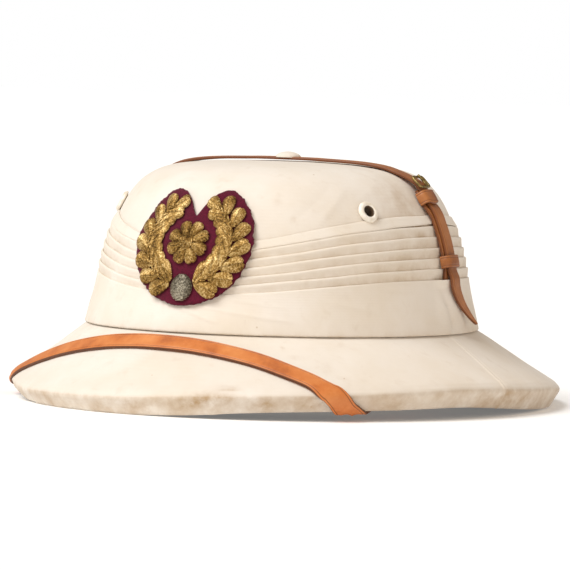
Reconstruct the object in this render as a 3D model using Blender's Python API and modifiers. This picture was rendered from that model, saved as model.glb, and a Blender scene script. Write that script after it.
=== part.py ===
"""Sun helmet of cork covered with cotton drill, built piece by piece.

Metres, +Z up. The helmet rests on its brim with the origin on the ground under the middle of the
brim. Its front faces -Y and the wearer's left is +X. Angles go round the helmet from the front
over the wearer's left. A height is over the ground, and out or lift is a distance off a face.
"""
import math

import bmesh
import bpy
from mathutils import Matrix, Vector

MM = 0.001

# Gap between pieces that touch
CLEAR = 0.3 * MM

# Crown: a cork shell covered with cloth
CROWN_LENGTH = 239 * MM
CROWN_WIDTH = 201 * MM
CROWN_BASE = 41 * MM
CROWN_RISE = 88.3 * MM
CROWN_WALL = 3 * MM
CROWN_FORWARD = 9 * MM

# Brim: a cork plate that slopes down to a rounded rim, which is arched beside each ear, a little
# more at the wearer's left
BRIM_LENGTH = 348 * MM
BRIM_WIDTH = 284 * MM
BRIM_THICK = 4.5 * MM
CREASE_INSET = 3 * MM
CREASE_HIGH = 19 * MM
RIM_DROP = 3.5 * MM
RIM_LEAN = 5.5 * MM
RIM_FOOT = 3 * MM
RIM_ARCH = 6 * MM
LINING_THICK = 1.2 * MM

# Cloth bands round the crown
PLEATS = 6
PLEAT_TOP = 103.1 * MM
PLEAT_THIN = 1.1 * MM
PLEAT_PROUD = 2 * MM
PLEAT_FRONT_DIP = 17 * MM
PLEAT_BACK_DIP = 8 * MM
BAND_TOP = 69.8 * MM
BAND_FRONT_DIP = 9 * MM
BAND_BACK_DIP = 3 * MM
BAND_THICK = 1.5 * MM

# Chin strap and the studs at its ends
CHIN_STRAP_WIDTH = 11.5 * MM
CHIN_STRAP_THICK = 1.9 * MM
RIM_LIFT = 0.9 * MM
WALL_CLIMB = 16 * MM
STUD_RADIUS = 4.5 * MM
STUD_THICK = 2 * MM
STUD_FROM_END = 6 * MM

# Strap over the crown, buckled at the wearer's left
STRAP_WIDTH = 10 * MM
STRAP_THICK = 1.6 * MM
TUCK_FOOT = 57.3 * MM
TAIL_TIP = 44.8 * MM
TAIL_SWING = 20 * MM
TUCK_DEPTH = 4.5 * MM
TAIL_START = 4 * MM
STACK_RAMP = 7 * MM
BUCKLE_DROP = 12 * MM
BUCKLE_HEIGHT = CROWN_BASE + CROWN_RISE - BUCKLE_DROP
BUCKLE_LENGTH = 10 * MM
BUCKLE_WIRE = 1.7 * MM
PRONG_RADIUS = 0.6 * MM
LOOP_DROP = 7.5 * MM
LOOP_HEIGHT = BUCKLE_HEIGHT - LOOP_DROP
LOOP_LENGTH = 6 * MM
KEEPER_HEIGHT = 78.3 * MM
KEEPER_LENGTH = 6.5 * MM
KEEPER_THICK = 1.3 * MM
FITTING_SIDE = 2 * MM

# Button on the top and vent eyelets
BUTTON_RADIUS = 8 * MM
BUTTON_HEIGHT = 3.4 * MM
EYELET_ANGLE = math.radians(59)
EYELET_HEIGHT = 104.8 * MM
EYELET_RADIUS = 6 * MM
EYELET_HOLE = 2.8 * MM
EYELET_RIM = 1.4 * MM
SLEEVE_WALL = 0.6 * MM

# Embroidered badge on the front
BADGE_WIDTH = 63 * MM
BADGE_HEIGHT = 61 * MM
BADGE_MIDDLE = 86 * MM
BADGE_ASIDE = 1.5 * MM
FELT_THICK = 1.3 * MM
FELT_MARGIN = 1.6 * MM
FELT_FADE = 8 * MM
BULLION_THICK = 2.6 * MM
BULLION_EDGE = 0.9 * MM
SPRAY_WIDTH = 18 * MM
ROSETTE_RADIUS = 11 * MM
TIE_WIDTH = 12 * MM
TIE_HEIGHT = 15 * MM
LEAVES = 7
PETALS = 8

# Crown sections: share of the rise, share of the base width
CROWN_ROWS = (
    (0.000, 1.000),
    (0.110, 0.977),
    (0.190, 0.960),
    (0.280, 0.944),
    (0.390, 0.928),
    (0.510, 0.903),
    (0.590, 0.880),
    (0.660, 0.855),
    (0.730, 0.828),
    (0.800, 0.793),
    (0.865, 0.748),
    (0.910, 0.698),
    (0.945, 0.638),
    (0.972, 0.550),
    (0.990, 0.395),
    (1.000, 0.130),
)

# Brim round the helmet: angle in degrees, share of the rim's arch, share of the crease's height
BRIM_ROWS = (
    (-180, 0.00, 0.61),
    (-150, 0.00, 0.63),
    (-110, 0.50, 0.68),
    (-85, 0.80, 0.70),
    (-58, 0.78, 0.63),
    (-40, 0.10, 0.56),
    (-25, 0.00, 0.58),
    (-5, 0.00, 0.65),
    (10, 0.22, 0.76),
    (20, 0.53, 0.81),
    (30, 0.73, 0.85),
    (45, 0.87, 0.90),
    (60, 0.97, 0.98),
    (70, 1.00, 1.00),
    (80, 0.77, 0.96),
    (99, 0.20, 0.82),
    (115, 0.00, 0.70),
    (140, 0.00, 0.62),
    (180, 0.00, 0.61),
)

# Chin strap from its end at the wearer's right ear, over the brim's front, to the left ear: angle
# in degrees, station on the brim's section (0 crown, 1 crease, 2 rim, 3 and 4 foot, 5 hollow
# behind the rim, 6 head opening, 7 inside wall)
CHIN_ROUTE = (
    (-86, 7.00),
    (-86, 6.20),
    (-84, 5.90),
    (-78, 5.40),
    (-72, 4.70),
    (-68, 3.30),
    (-66, 2.30),
    (-63, 1.50),
    (-58, 0.95),
    (-50, 0.70),
    (-38, 0.42),
    (-26, 0.26),
    (-18, 0.20),
    (-9, 0.175),
    (0, 0.175),
    (8, 0.21),
    (17, 0.29),
    (25, 0.39),
    (32, 0.55),
    (36.5, 0.72),
    (39.5, 0.95),
    (42, 1.50),
    (43.7, 2.30),
    (45, 3.30),
    (49, 4.70),
    (56, 5.25),
    (66, 5.60),
    (75, 5.88),
    (79, 6.20),
    (79, 7.00),
)

# Tail of the crown strap: share of the way from the band's top edge down to the tip, share of the
# swing to the back, share of the strap's width
TAIL_ROWS = (
    (0.00, 0.00, 1.00),
    (0.18, 0.02, 1.00),
    (0.38, 0.12, 0.96),
    (0.60, 0.33, 0.82),
    (0.80, 0.62, 0.55),
    (0.93, 0.85, 0.32),
    (1.00, 1.00, 0.12),
)

COLUMNS = 48
EAR = math.radians(90)
BULGE_HALF = math.radians(3.4)
BULGE_FADE = math.radians(7.5)
TURN = 0.01


def clear_scene():
    """Remove what the file holds at the start."""
    for thing in list(bpy.data.objects):
        bpy.data.objects.remove(thing, do_unlink=True)


def make_collection(name):
    collection = bpy.data.collections.new(name)
    bpy.context.scene.collection.children.link(collection)
    return collection


def make_material(name, colour, roughness, metallic=0.0):
    """Plain material with a linear base colour."""
    material = bpy.data.materials.new(name)
    material.use_nodes = True
    shader = material.node_tree.nodes["Principled BSDF"]
    shader.inputs["Base Color"].default_value = (*colour, 1.0)
    shader.inputs["Roughness"].default_value = roughness
    shader.inputs["Metallic"].default_value = metallic
    return material


def between(rows, value, column=1):
    """Read a column of a table at a value of its first column, straight between rows."""
    if value <= rows[0][0]:
        return rows[0][column]
    for low, high in zip(rows, rows[1:]):
        if value <= high[0]:
            share = (value - low[0]) / (high[0] - low[0])
            return low[column] + (high[column] - low[column]) * share
    return rows[-1][column]


def column_angles():
    """Angles of the columns, even round the helmet with two more beside each ear."""
    angles = [2 * math.pi * step / COLUMNS for step in range(COLUMNS)]
    for ear in (EAR, 2 * math.pi - EAR):
        angles += [ear - BULGE_HALF, ear + BULGE_HALF]
    return sorted(angles)


def add_part(name, mesh, material, collection, smooth=40):
    """Put a mesh in the scene with its material, shaded smooth but for its sharp edges."""
    part = bpy.data.objects.new(name, mesh)
    collection.objects.link(part)
    mesh.materials.append(material)
    mesh.shade_smooth()
    mesh.set_sharp_from_angle(angle=math.radians(smooth))
    return part


def loft(name, sections, material, collection, closed=False, smooth=40):
    """Skin a row of sections, each a loop of points, and cap the ends of an open row."""
    work = bmesh.new()
    loops = [[work.verts.new(point) for point in section] for section in sections]
    pairs = list(zip(loops, loops[1:]))
    if closed:
        pairs.append((loops[-1], loops[0]))
    for here, there in pairs:
        for step in range(len(here)):
            after = (step + 1) % len(here)
            work.faces.new((here[step], here[after], there[after], there[step]))
    if not closed:
        work.faces.new(loops[0])
        work.faces.new(loops[-1])
    bmesh.ops.recalc_face_normals(work, faces=work.faces)
    mesh = bpy.data.meshes.new(name)
    work.to_mesh(mesh)
    work.free()
    return add_part(name, mesh, material, collection, smooth)


def turned(name, profile, material, collection, steps=24, ring=False):
    """Turn a profile of radius and height about Z with a Screw modifier, top to bottom."""
    mesh = bpy.data.meshes.new(name)
    points = [(radius, 0.0, height) for radius, height in profile]
    edges = [(step, step + 1) for step in range(len(points) - 1)]
    if ring:
        edges.append((len(points) - 1, 0))
    mesh.from_pydata(points, edges, [])
    part = bpy.data.objects.new(name, mesh)
    collection.objects.link(part)
    mesh.materials.append(material)
    screw = part.modifiers.new("Turn", "SCREW")
    screw.steps = steps
    screw.render_steps = steps
    screw.use_merge_vertices = True
    screw.merge_threshold = 0.00001
    screw.use_smooth_shade = True
    return part


def stand_on(part, seat, normal, sideways=None):
    """Stand an object on a place with its Z along the normal and its X along sideways."""
    axis = normal.normalized()
    across = sideways if sideways else axis.orthogonal()
    across = (across - axis * across.dot(axis)).normalized()
    turn = Matrix((across, axis.cross(across), axis)).transposed()
    part.matrix_world = Matrix.Translation(seat) @ turn.to_4x4()


# Crown

def crown_point(angle, height, out=0.0):
    """Point on the crown at an angle and a height, moved outwards."""
    share = between(CROWN_ROWS, (height - CROWN_BASE) / CROWN_RISE)
    half_width = share * CROWN_WIDTH / 2 + out
    half_length = share * CROWN_LENGTH / 2 + out
    return Vector((half_width * math.sin(angle), -CROWN_FORWARD - half_length * math.cos(angle), height))


def round_way(angle):
    """Level direction round the helmet at an angle."""
    return (crown_point(angle + TURN, 0) - crown_point(angle - TURN, 0)).normalized()


def crown_normal(angle, height):
    """Outward direction square to the crown."""
    step = 2 * MM
    up = crown_point(angle, height + step) - crown_point(angle, height - step)
    return round_way(angle).cross(up).normalized()


def build_crown(material, collection):
    """Hollow dome: rings down the inside, over the lower edge and up the outside."""
    outer = []
    inner = []
    for place, (rise, share) in enumerate(CROWN_ROWS):
        height = CROWN_BASE + CROWN_RISE * rise
        flat = max(0.0, (rise - 0.8) / 0.2)
        inset = min(CROWN_WALL * (1.0 - 0.5 * flat), 0.3 * share * CROWN_WIDTH)
        outer.append((share * CROWN_WIDTH / 2, share * CROWN_LENGTH / 2, height))
        if place % 2 == 0 or rise == 1.0:
            inner.append((share * CROWN_WIDTH / 2 - inset, share * CROWN_LENGTH / 2 - inset,
                          height - CROWN_WALL * flat))
    rings = list(reversed(inner)) + outer
    sections = [
        [(half_width * math.sin(angle), -CROWN_FORWARD - half_length * math.cos(angle), height)
         for angle in column_angles()]
        for half_width, half_length, height in rings
    ]
    return loft("crown", sections, material, collection)


# Brim

def brim_heights(angle):
    """Heights over the ground of the rim's foot and of the crease at an angle."""
    turn = math.degrees(math.remainder(angle, 2 * math.pi))
    return RIM_ARCH * between(BRIM_ROWS, turn, 1), CREASE_HIGH * between(BRIM_ROWS, turn, 2)


def brim_point(angle, inset, height):
    """Point at a distance inside the brim's outline."""
    half_width = BRIM_WIDTH / 2 - inset
    half_length = BRIM_LENGTH / 2 - inset
    return Vector((half_width * math.sin(angle), -half_length * math.cos(angle), height))


def brim_profile(angle):
    """Section of the brim from its inner edge over the top, round the rim and back underneath."""
    foot, crease = brim_heights(angle)
    hollow = RIM_LEAN + 1.5 * RIM_FOOT
    seat = Vector((0, 0, CLEAR))
    inner_top = crown_point(angle, CROWN_BASE, -CROWN_WALL) - seat
    return [
        inner_top,
        crown_point(angle, CROWN_BASE) - seat,
        brim_point(angle, CREASE_INSET, crease),
        brim_point(angle, 0, crease - RIM_DROP),
        brim_point(angle, RIM_LEAN, foot),
        brim_point(angle, RIM_LEAN + RIM_FOOT, foot),
        brim_point(angle, hollow, crease - BRIM_THICK),
        inner_top - Vector((0, 0, BRIM_THICK)),
    ]


def build_brim(material, collection):
    sections = [brim_profile(angle) for angle in column_angles()]
    return loft("brim", sections, material, collection, closed=True)


def build_lining(material, collection):
    """Cloth sheet under the brim, from the hollow behind the rim to the head opening."""
    near_rim = 0.03
    gap = 1.4 * CLEAR
    rows = ((near_rim, gap), (1.0, gap), (1.0, gap + LINING_THICK), (near_rim, gap + LINING_THICK))
    sections = []
    for angle in column_angles():
        hollow, opening = brim_profile(angle)[6:8]
        sections.append([hollow.lerp(opening, share) - Vector((0, 0, down)) for share, down in rows])
    return loft("brim_lining", sections, material, collection, closed=True)


# Cloth bands

def fold_height(angle, share):
    """Height of a fold: share 0 is the lower band's top edge, 1 the top pleat's."""
    front = BAND_FRONT_DIP + (PLEAT_FRONT_DIP - BAND_FRONT_DIP) * share
    back = BAND_BACK_DIP + (PLEAT_BACK_DIP - BAND_BACK_DIP) * share
    facing = math.cos(angle)
    dip = front * facing ** 3 if facing > 0 else back * facing ** 2
    return BAND_TOP + (PLEAT_TOP - BAND_TOP) * share - dip


def build_pleated_band(material, collection):
    """Overlapping pleats: each folded upper edge stands proud of the pleat above it."""
    thin = CLEAR + PLEAT_THIN
    proud = CLEAR + PLEAT_PROUD
    sections = []
    for angle in column_angles():
        foot = fold_height(angle, 0) + CLEAR
        folds = [fold_height(angle, step / PLEATS) for step in range(1, PLEATS + 1)]
        section = [crown_point(angle, height, CLEAR) for height in [foot] + folds]
        for step, height in enumerate(reversed(folds)):
            if step > 0:
                section.append(crown_point(angle, height, thin))
            section.append(crown_point(angle, height, proud))
        section.append(crown_point(angle, foot, thin))
        sections.append(section)
    return loft("pleated_band", sections, material, collection, closed=True, smooth=30)


def ear_bulge(angle):
    """Share of the swelling where the straps' ends are tucked behind the lower band."""
    turn = abs(abs(math.remainder(angle, 2 * math.pi)) - EAR)
    return max(0.0, min(1.0, (BULGE_FADE - turn) / (BULGE_FADE - BULGE_HALF)))


def band_bulge(angle, share):
    """How far the lower band stands off at a share of its height."""
    top = STRAP_THICK + PLEAT_THIN + 2 * CLEAR
    middle = STRAP_THICK + CLEAR
    rows = ((0.0, 0.0), (0.5, middle), (0.85, middle), (1.0, top))
    return ear_bulge(angle) * between(rows, share)


def build_lower_band(material, collection):
    shares = (0.0, 0.3, 0.5, 0.85, 1.0)
    sections = []
    for angle in column_angles():
        top = fold_height(angle, 0)
        rows = [(CROWN_BASE + (top - CROWN_BASE) * share, band_bulge(angle, share)) for share in shares]
        inner = [crown_point(angle, height, CLEAR + bulge) for height, bulge in rows]
        outer = [crown_point(angle, height, CLEAR + BAND_THICK + bulge) for height, bulge in rows]
        sections.append(inner + list(reversed(outer)))
    return loft("lower_band", sections, material, collection, closed=True, smooth=35)


# Chin strap

def smooth_route(rows, paces):
    """Smooth curve through rows, with a number of steps after each row."""
    points = [Vector(row) for row in rows]
    route = []
    for place, steps in enumerate(paces[:-1]):
        before = points[max(place - 1, 0)]
        here = points[place]
        there = points[place + 1]
        after = points[min(place + 2, len(points) - 1)]
        for step in range(steps):
            share = step / steps
            route.append(0.5 * (2 * here + (there - before) * share
                                + (2 * before - 5 * here + 4 * there - after) * share ** 2
                                + (3 * here - before - 3 * there + after) * share ** 3))
    route.append(points[-1])
    return route


def skin_nodes(angle, thick):
    """Corners of the brim's section from the crown to the inside wall, each with its skin point."""
    profile = brim_profile(angle)[1:]
    profile.append(crown_point(angle, CROWN_BASE + WALL_CLIMB, -CROWN_WALL))
    rim = CLEAR + RIM_LIFT
    lining = 4 * CLEAR + LINING_THICK
    opening = 2 * CLEAR + 2 * LINING_THICK
    lifts = (CLEAR, rim, rim, rim, lining, lining, opening, 4 * CLEAR)
    normals = [(high - low).cross(round_way(angle)).normalized()
               for low, high in zip(profile, profile[1:])]
    nodes = []
    for place, (point, lift) in enumerate(zip(profile, lifts)):
        before = normals[max(place - 1, 0)]
        after = normals[min(place, len(normals) - 1)]
        mitre = (before + after).normalized()
        nodes.append((point, point + mitre * (lift + thick) / max(0.7, mitre.dot(after))))
    return nodes


def skin_point(angle, along, thick):
    """Point of the skin at a distance along the brim's section from the crown."""
    nodes = skin_nodes(angle, thick)
    away = along
    for (low, low_skin), (high, high_skin) in zip(nodes, nodes[1:]):
        length = (high - low).length
        if away <= length or high is nodes[-1][0]:
            return low_skin.lerp(high_skin, min(1.0, away / length))
        away -= length


def station_distance(angle, station):
    """Distance along the brim's section of a station."""
    nodes = [point for point, skin in skin_nodes(angle, 0)]
    lengths = [(high - low).length for low, high in zip(nodes, nodes[1:])]
    whole = min(int(station), len(lengths) - 1)
    return sum(lengths[:whole]) + lengths[whole] * (station - whole)


def chin_section(route, place):
    """Section of the chin strap square to its route, bent to the face that it lies on."""
    angle, along = route[place]
    ahead = route[min(place + 1, len(route) - 1)] - route[max(place - 1, 0)]
    step = 0.5 * MM
    by_angle = (skin_point(angle + TURN, along, 0) - skin_point(angle - TURN, along, 0)) / (2 * TURN)
    by_step = (skin_point(angle, along + step, 0) - skin_point(angle, along - step, 0)) / (2 * step)
    mixed = by_angle.dot(by_step)
    cross_angle = -(mixed * ahead[0] + by_step.dot(by_step) * ahead[1])
    cross_step = by_angle.dot(by_angle) * ahead[0] + mixed * ahead[1]
    half = CHIN_STRAP_WIDTH / 2 / (by_angle * cross_angle + by_step * cross_step).length
    section = []
    for thick, sides in ((0, (-1, 0, 1)), (CHIN_STRAP_THICK, (1, 0, -1))):
        for side in sides:
            section.append(skin_point(angle + cross_angle * half * side,
                                      along + cross_step * half * side, thick))
    return section


def build_chin_strap(leather, metal, collection):
    """Whole loop: over the front of the brim, round the rim and under it to a stud at each ear."""
    rows = []
    paces = []
    for degrees, station in CHIN_ROUTE:
        angle = math.radians(degrees)
        rows.append((angle, station_distance(angle, station)))
        paces.append(5 if 0.9 < station < 5.3 else 2)
    route = smooth_route(rows, paces)
    loft("chin_strap", [chin_section(route, place) for place in range(len(route))],
         leather, collection)
    profile = ((0, STUD_THICK), (0.6 * STUD_RADIUS, STUD_THICK), (STUD_RADIUS, 0.6 * STUD_THICK),
               (STUD_RADIUS, 0), (0, 0))
    for name, (angle, along) in (("strap_stud_right", route[0]), ("strap_stud_left", route[-1])):
        seat = skin_point(angle, along - STUD_FROM_END, CHIN_STRAP_THICK + 2 * CLEAR)
        up = skin_point(angle, along, 0) - skin_point(angle, along - STUD_FROM_END, 0)
        stand_on(turned(name, profile, metal, collection, 16), seat, up.cross(round_way(angle)))


# Strap over the crown

def strap_lift(height):
    """Lift of a strap's inner face off the crown, from where it is tucked in to the bare crown."""
    pleat = (PLEAT_TOP - BAND_TOP) / PLEATS
    rows = (
        (BAND_TOP - TUCK_DEPTH, CLEAR),
        (BAND_TOP, PLEAT_THIN + 2 * CLEAR),
        (BAND_TOP + pleat, PLEAT_PROUD + 2 * CLEAR),
        (PLEAT_TOP + CLEAR, PLEAT_PROUD + 2 * CLEAR),
        (PLEAT_TOP + 0.6 * pleat, 2 * CLEAR),
    )
    return between(rows, height)


def strap_heights(low, high):
    """Heights where a strap bends: the pleats' folds, the crown's rings and beside each fitting."""
    heights = [low, BAND_TOP - TUCK_DEPTH, BAND_TOP, high]
    heights += [BAND_TOP + (PLEAT_TOP - BAND_TOP) * step / PLEATS for step in range(1, PLEATS + 1)]
    heights += [CROWN_BASE + CROWN_RISE * rise for rise, share in CROWN_ROWS]
    heights.append(PLEAT_TOP + 0.6 * (PLEAT_TOP - BAND_TOP) / PLEATS)
    for fitting in (BUCKLE_HEIGHT, LOOP_HEIGHT, KEEPER_HEIGHT):
        heights += [fitting - FITTING_SIDE, fitting + FITTING_SIDE]
    return sorted({round(height, 6) for height in heights if low <= height <= high})


def strap_solid(name, rows, material, collection):
    """Strap in the upright plane of the ears, from rows of side, height, lift, swing and width."""
    faces = [crown_point(side * EAR, height) + Vector((0, swing, 0))
             for side, height, lift, swing, width in rows]
    last = len(rows) - 1
    sections = []
    for place, (side, height, lift, swing, width) in enumerate(rows):
        ahead = faces[min(place + 1, last)] - faces[max(place - 1, 0)]
        normal = ahead.cross(Vector((0, 1, 0))).normalized()
        half = normal.cross(ahead).normalized() * width / 2
        low = faces[place] + normal * lift
        high = low + normal * STRAP_THICK
        sections.append([low - half, low + half, high + half, high - half])
    return loft(name, sections, material, collection, smooth=30)


def build_crown_straps(material, collection):
    """Long strap over the crown with its tail, and the short strap under it."""
    top = CROWN_BASE + CROWN_RISE
    rows = [(-1, height, strap_lift(height), 0, STRAP_WIDTH) for height in strap_heights(TUCK_FOOT, top)]
    stack = STRAP_THICK + CLEAR
    for height in reversed(strap_heights(BAND_TOP + TAIL_START, top)):
        over = max(0.0, min(1.0, (BUCKLE_HEIGHT + STACK_RAMP - height) / STACK_RAMP))
        rows.append((1, height, strap_lift(height) + stack * over, 0, STRAP_WIDTH))
    over_band = band_bulge(EAR, 1.0) + BAND_THICK + 2 * CLEAR
    for down, swing, width in TAIL_ROWS:
        height = BAND_TOP + (TAIL_TIP - BAND_TOP) * down
        lift = over_band - STRAP_THICK / 2 * down
        rows.append((1, height, lift, swing * TAIL_SWING, width * STRAP_WIDTH))
    strap_solid("crown_strap", rows, material, collection)
    under = [(1, height, strap_lift(height), 0, STRAP_WIDTH)
             for height in reversed(strap_heights(TUCK_FOOT, BUCKLE_HEIGHT - FITTING_SIDE))]
    strap_solid("buckle_strap", under, material, collection)


def ear_seat(height, lift):
    """Place and outward direction on the straps at the wearer's left ear."""
    low = crown_point(EAR, height - FITTING_SIDE)
    high = crown_point(EAR, height + FITTING_SIDE)
    normal = Vector((0, 1, 0)).cross(high - low).normalized()
    return (low + high) / 2 + normal * lift, normal


def build_keeper(name, height, length, material, collection):
    """Leather loop sewn across the under strap, over both straps."""
    seat, normal = ear_seat(height, strap_lift(height))
    along = normal.cross(Vector((0, 1, 0))) * length / 2
    half = STRAP_WIDTH / 2 + CLEAR
    roof = 2 * STRAP_THICK + 3 * CLEAR
    corners = ((half, 0), (half + KEEPER_THICK, 0), (half + KEEPER_THICK, roof + KEEPER_THICK),
               (-half - KEEPER_THICK, roof + KEEPER_THICK), (-half - KEEPER_THICK, 0), (-half, 0),
               (-half, roof), (half, roof))
    sections = [[seat + side + Vector((0, 1, 0)) * across + normal * up for across, up in corners]
                for side in (-along, along)]
    return loft(name, sections, material, collection, smooth=30)


def build_buckle(metal, collection, cutters):
    """Square wire frame that lies on the strap, with its prong across the opening."""
    lift = strap_lift(BUCKLE_HEIGHT) + 2 * STRAP_THICK + 3 * CLEAR
    seat, normal = ear_seat(BUCKLE_HEIGHT, lift + BUCKLE_WIRE / 2)
    sideways = Vector((0, 1, 0))
    inner = (STRAP_WIDTH + 2 * CLEAR, BUCKLE_LENGTH - 2 * BUCKLE_WIRE)
    boxes = []
    for name, home, size in (
            ("strap_buckle", collection, (inner[0] + 2 * BUCKLE_WIRE, BUCKLE_LENGTH, BUCKLE_WIRE)),
            ("buckle_opening", cutters, (inner[0], inner[1], 3 * BUCKLE_WIRE))):
        mesh = bpy.data.meshes.new(name)
        work = bmesh.new()
        bmesh.ops.create_cube(work, size=1.0)
        bmesh.ops.scale(work, vec=size, verts=work.verts)
        work.to_mesh(mesh)
        work.free()
        box = add_part(name, mesh, metal, home)
        stand_on(box, seat, normal, sideways)
        boxes.append(box)
    frame, opening = boxes
    cut = frame.modifiers.new("Opening", "BOOLEAN")
    cut.operation = "DIFFERENCE"
    cut.object = opening
    opening.hide_render = True
    opening.display_type = "WIRE"
    edge = frame.modifiers.new("Edges", "BEVEL")
    edge.width = 0.3 * BUCKLE_WIRE
    edge.segments = 1
    edge.limit_method = "ANGLE"

    mesh = bpy.data.meshes.new("buckle_prong")
    work = bmesh.new()
    bmesh.ops.create_cone(work, cap_ends=True, segments=8, radius1=PRONG_RADIUS, radius2=PRONG_RADIUS,
                          depth=inner[1] - 2 * CLEAR)
    work.to_mesh(mesh)
    work.free()
    prong = add_part("buckle_prong", mesh, metal, collection)
    low = ear_seat(BUCKLE_HEIGHT, lift + PRONG_RADIUS)[0]
    stand_on(prong, low, normal.cross(sideways), sideways)


# Fittings on the crown

def build_button(material, collection):
    """Cloth-covered button over the straps at the top."""
    seat = Vector((0, -CROWN_FORWARD, CROWN_BASE + CROWN_RISE + 3 * CLEAR + STRAP_THICK))
    profile = [(0, BUTTON_HEIGHT)]
    for step in range(1, 5):
        lean = step * math.pi / 10
        profile.append((BUTTON_RADIUS * math.sin(lean), BUTTON_HEIGHT * math.cos(lean)))
    profile += [(BUTTON_RADIUS, 0.12 * BUTTON_HEIGHT), (0.96 * BUTTON_RADIUS, 0), (0, 0)]
    stand_on(turned("vent_button", profile, material, collection), seat, Vector((0, 0, 1)))


def build_eyelets(crown, metal, collection, cutters):
    """Painted vents: a flat ring over the cloth with a sleeve through the crown's wall."""
    lift = PLEAT_PROUD + 2 * CLEAR
    sleeve = EYELET_HOLE + SLEEVE_WALL
    profile = (
        (EYELET_HOLE, lift + EYELET_RIM),
        (EYELET_RADIUS - 0.3 * EYELET_RIM, lift + EYELET_RIM),
        (EYELET_RADIUS, lift + 0.6 * EYELET_RIM),
        (EYELET_RADIUS, lift),
        (sleeve, lift),
        (sleeve, -CROWN_WALL - CLEAR),
        (EYELET_HOLE, -CROWN_WALL - CLEAR),
    )
    for side, name in ((1, "vent_eyelet_left"), (-1, "vent_eyelet_right")):
        seat = crown_point(side * EYELET_ANGLE, EYELET_HEIGHT)
        normal = crown_normal(side * EYELET_ANGLE, EYELET_HEIGHT)
        stand_on(turned(name, profile, metal, collection, 20, ring=True), seat, normal)
        mesh = bpy.data.meshes.new(name + "_hole")
        work = bmesh.new()
        bmesh.ops.create_cone(work, cap_ends=True, segments=20, radius1=sleeve + CLEAR,
                              radius2=sleeve + CLEAR, depth=8 * CROWN_WALL)
        work.to_mesh(mesh)
        work.free()
        hole = bpy.data.objects.new(name + "_hole", mesh)
        cutters.objects.link(hole)
        stand_on(hole, seat, normal)
        hole.hide_render = True
        hole.display_type = "WIRE"
        cut = crown.modifiers.new(name, "BOOLEAN")
        cut.operation = "DIFFERENCE"
        cut.object = hole


# Badge

def badge_point(across, up, out):
    """Point over the front of the crown: distances across and up from the badge's middle."""
    height = BADGE_MIDDLE + up
    share = between(CROWN_ROWS, (height - CROWN_BASE) / CROWN_RISE)
    angle = (across - BADGE_ASIDE) / (share * CROWN_WIDTH / 2)
    over = min(1.0, max(0.0, (fold_height(angle, 1) + FELT_FADE - height) / FELT_FADE))
    lift = 3 * CLEAR + PLEAT_PROUD * over
    return crown_point(angle, height) + crown_normal(angle, height) * (lift + out)


def build_felt(material, collection):
    """Felt backing with a notch at its top, in rings from its edge to its middle and back."""
    columns = 40
    half_width = BADGE_WIDTH / 2 + FELT_MARGIN
    half_height = BADGE_HEIGHT / 2 + FELT_MARGIN
    outline = []
    for step in range(columns):
        turn = 2 * math.pi * step / columns
        notch = max(0.0, math.cos(turn - math.pi / 2)) ** 24
        reach = 1.0 - 0.55 * notch
        outline.append((half_width * math.cos(turn) * reach, half_height * math.sin(turn) * reach))
    rings = ((0.08, 0), (0.4, 0), (0.72, 0), (1.0, 0), (1.0, 1), (0.72, 1), (0.4, 1), (0.08, 1))
    sections = [[badge_point(across * share, up * share, FELT_THICK * level) for across, up in outline]
                for share, level in rings]
    return loft("badge_felt", sections, material, collection)


def build_spray(side, name, material, collection):
    """Spray of leaves on one side: a domed strip whose width steps out at each leaf's tip."""
    over = FELT_THICK + CLEAR
    reach_across = BADGE_WIDTH / 2 - SPRAY_WIDTH / 2
    reach_up = BADGE_HEIGHT / 2 - SPRAY_WIDTH / 2
    start = math.asin((TIE_WIDTH / 2 + 3 * CLEAR) / reach_across)
    finish = math.radians(158)
    steps = 3
    corners = ((-1, 0), (0, 0), (1, 0), (1, BULLION_EDGE), (0, BULLION_THICK), (-1, BULLION_EDGE))
    sections = []
    for step in range(LEAVES * steps + 1):
        share = step / (LEAVES * steps)
        turn = start + (finish - start) * share
        leaf = (step % steps) / (steps - 1) if step < LEAVES * steps else 0.0
        half = SPRAY_WIDTH / 2 * (0.74 + 0.26 * leaf) * (1.0 - 0.72 * share ** 3)
        section = []
        for place, high in corners:
            section.append(badge_point(side * (reach_across + place * half) * math.sin(turn),
                                       -(reach_up + place * half) * math.cos(turn), over + high))
        sections.append(section)
    return loft(name, sections, material, collection, smooth=30)


def build_boss(name, middle, half_width, half_height, petals, material, collection):
    """Padded boss of embroidery, with petals where it has any."""
    over = FELT_THICK + CLEAR
    columns = 24
    rings = ((0.1, 0), (0.55, 0), (1.0, 0), (1.0, BULLION_EDGE), (0.75, 0.85 * BULLION_THICK),
             (0.35, BULLION_THICK), (0.1, BULLION_THICK))
    sections = []
    for share, high in rings:
        section = []
        for step in range(columns):
            turn = 2 * math.pi * step / columns
            reach = share * (1.0 - 0.07 * (1 - math.cos(petals * turn)) / 2)
            section.append(badge_point(half_width * reach * math.cos(turn),
                                       middle + half_height * reach * math.sin(turn), over + high))
        sections.append(section)
    return loft(name, sections, material, collection)


def build_badge(felt, gold, silver, collection):
    build_felt(felt, collection)
    build_spray(1, "badge_spray_left", gold, collection)
    build_spray(-1, "badge_spray_right", gold, collection)
    build_boss("badge_rosette", 0, ROSETTE_RADIUS, ROSETTE_RADIUS, PETALS, gold, collection)
    build_boss("badge_tie", (TIE_HEIGHT - BADGE_HEIGHT) / 2, TIE_WIDTH / 2, TIE_HEIGHT / 2, 0,
               silver, collection)


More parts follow.
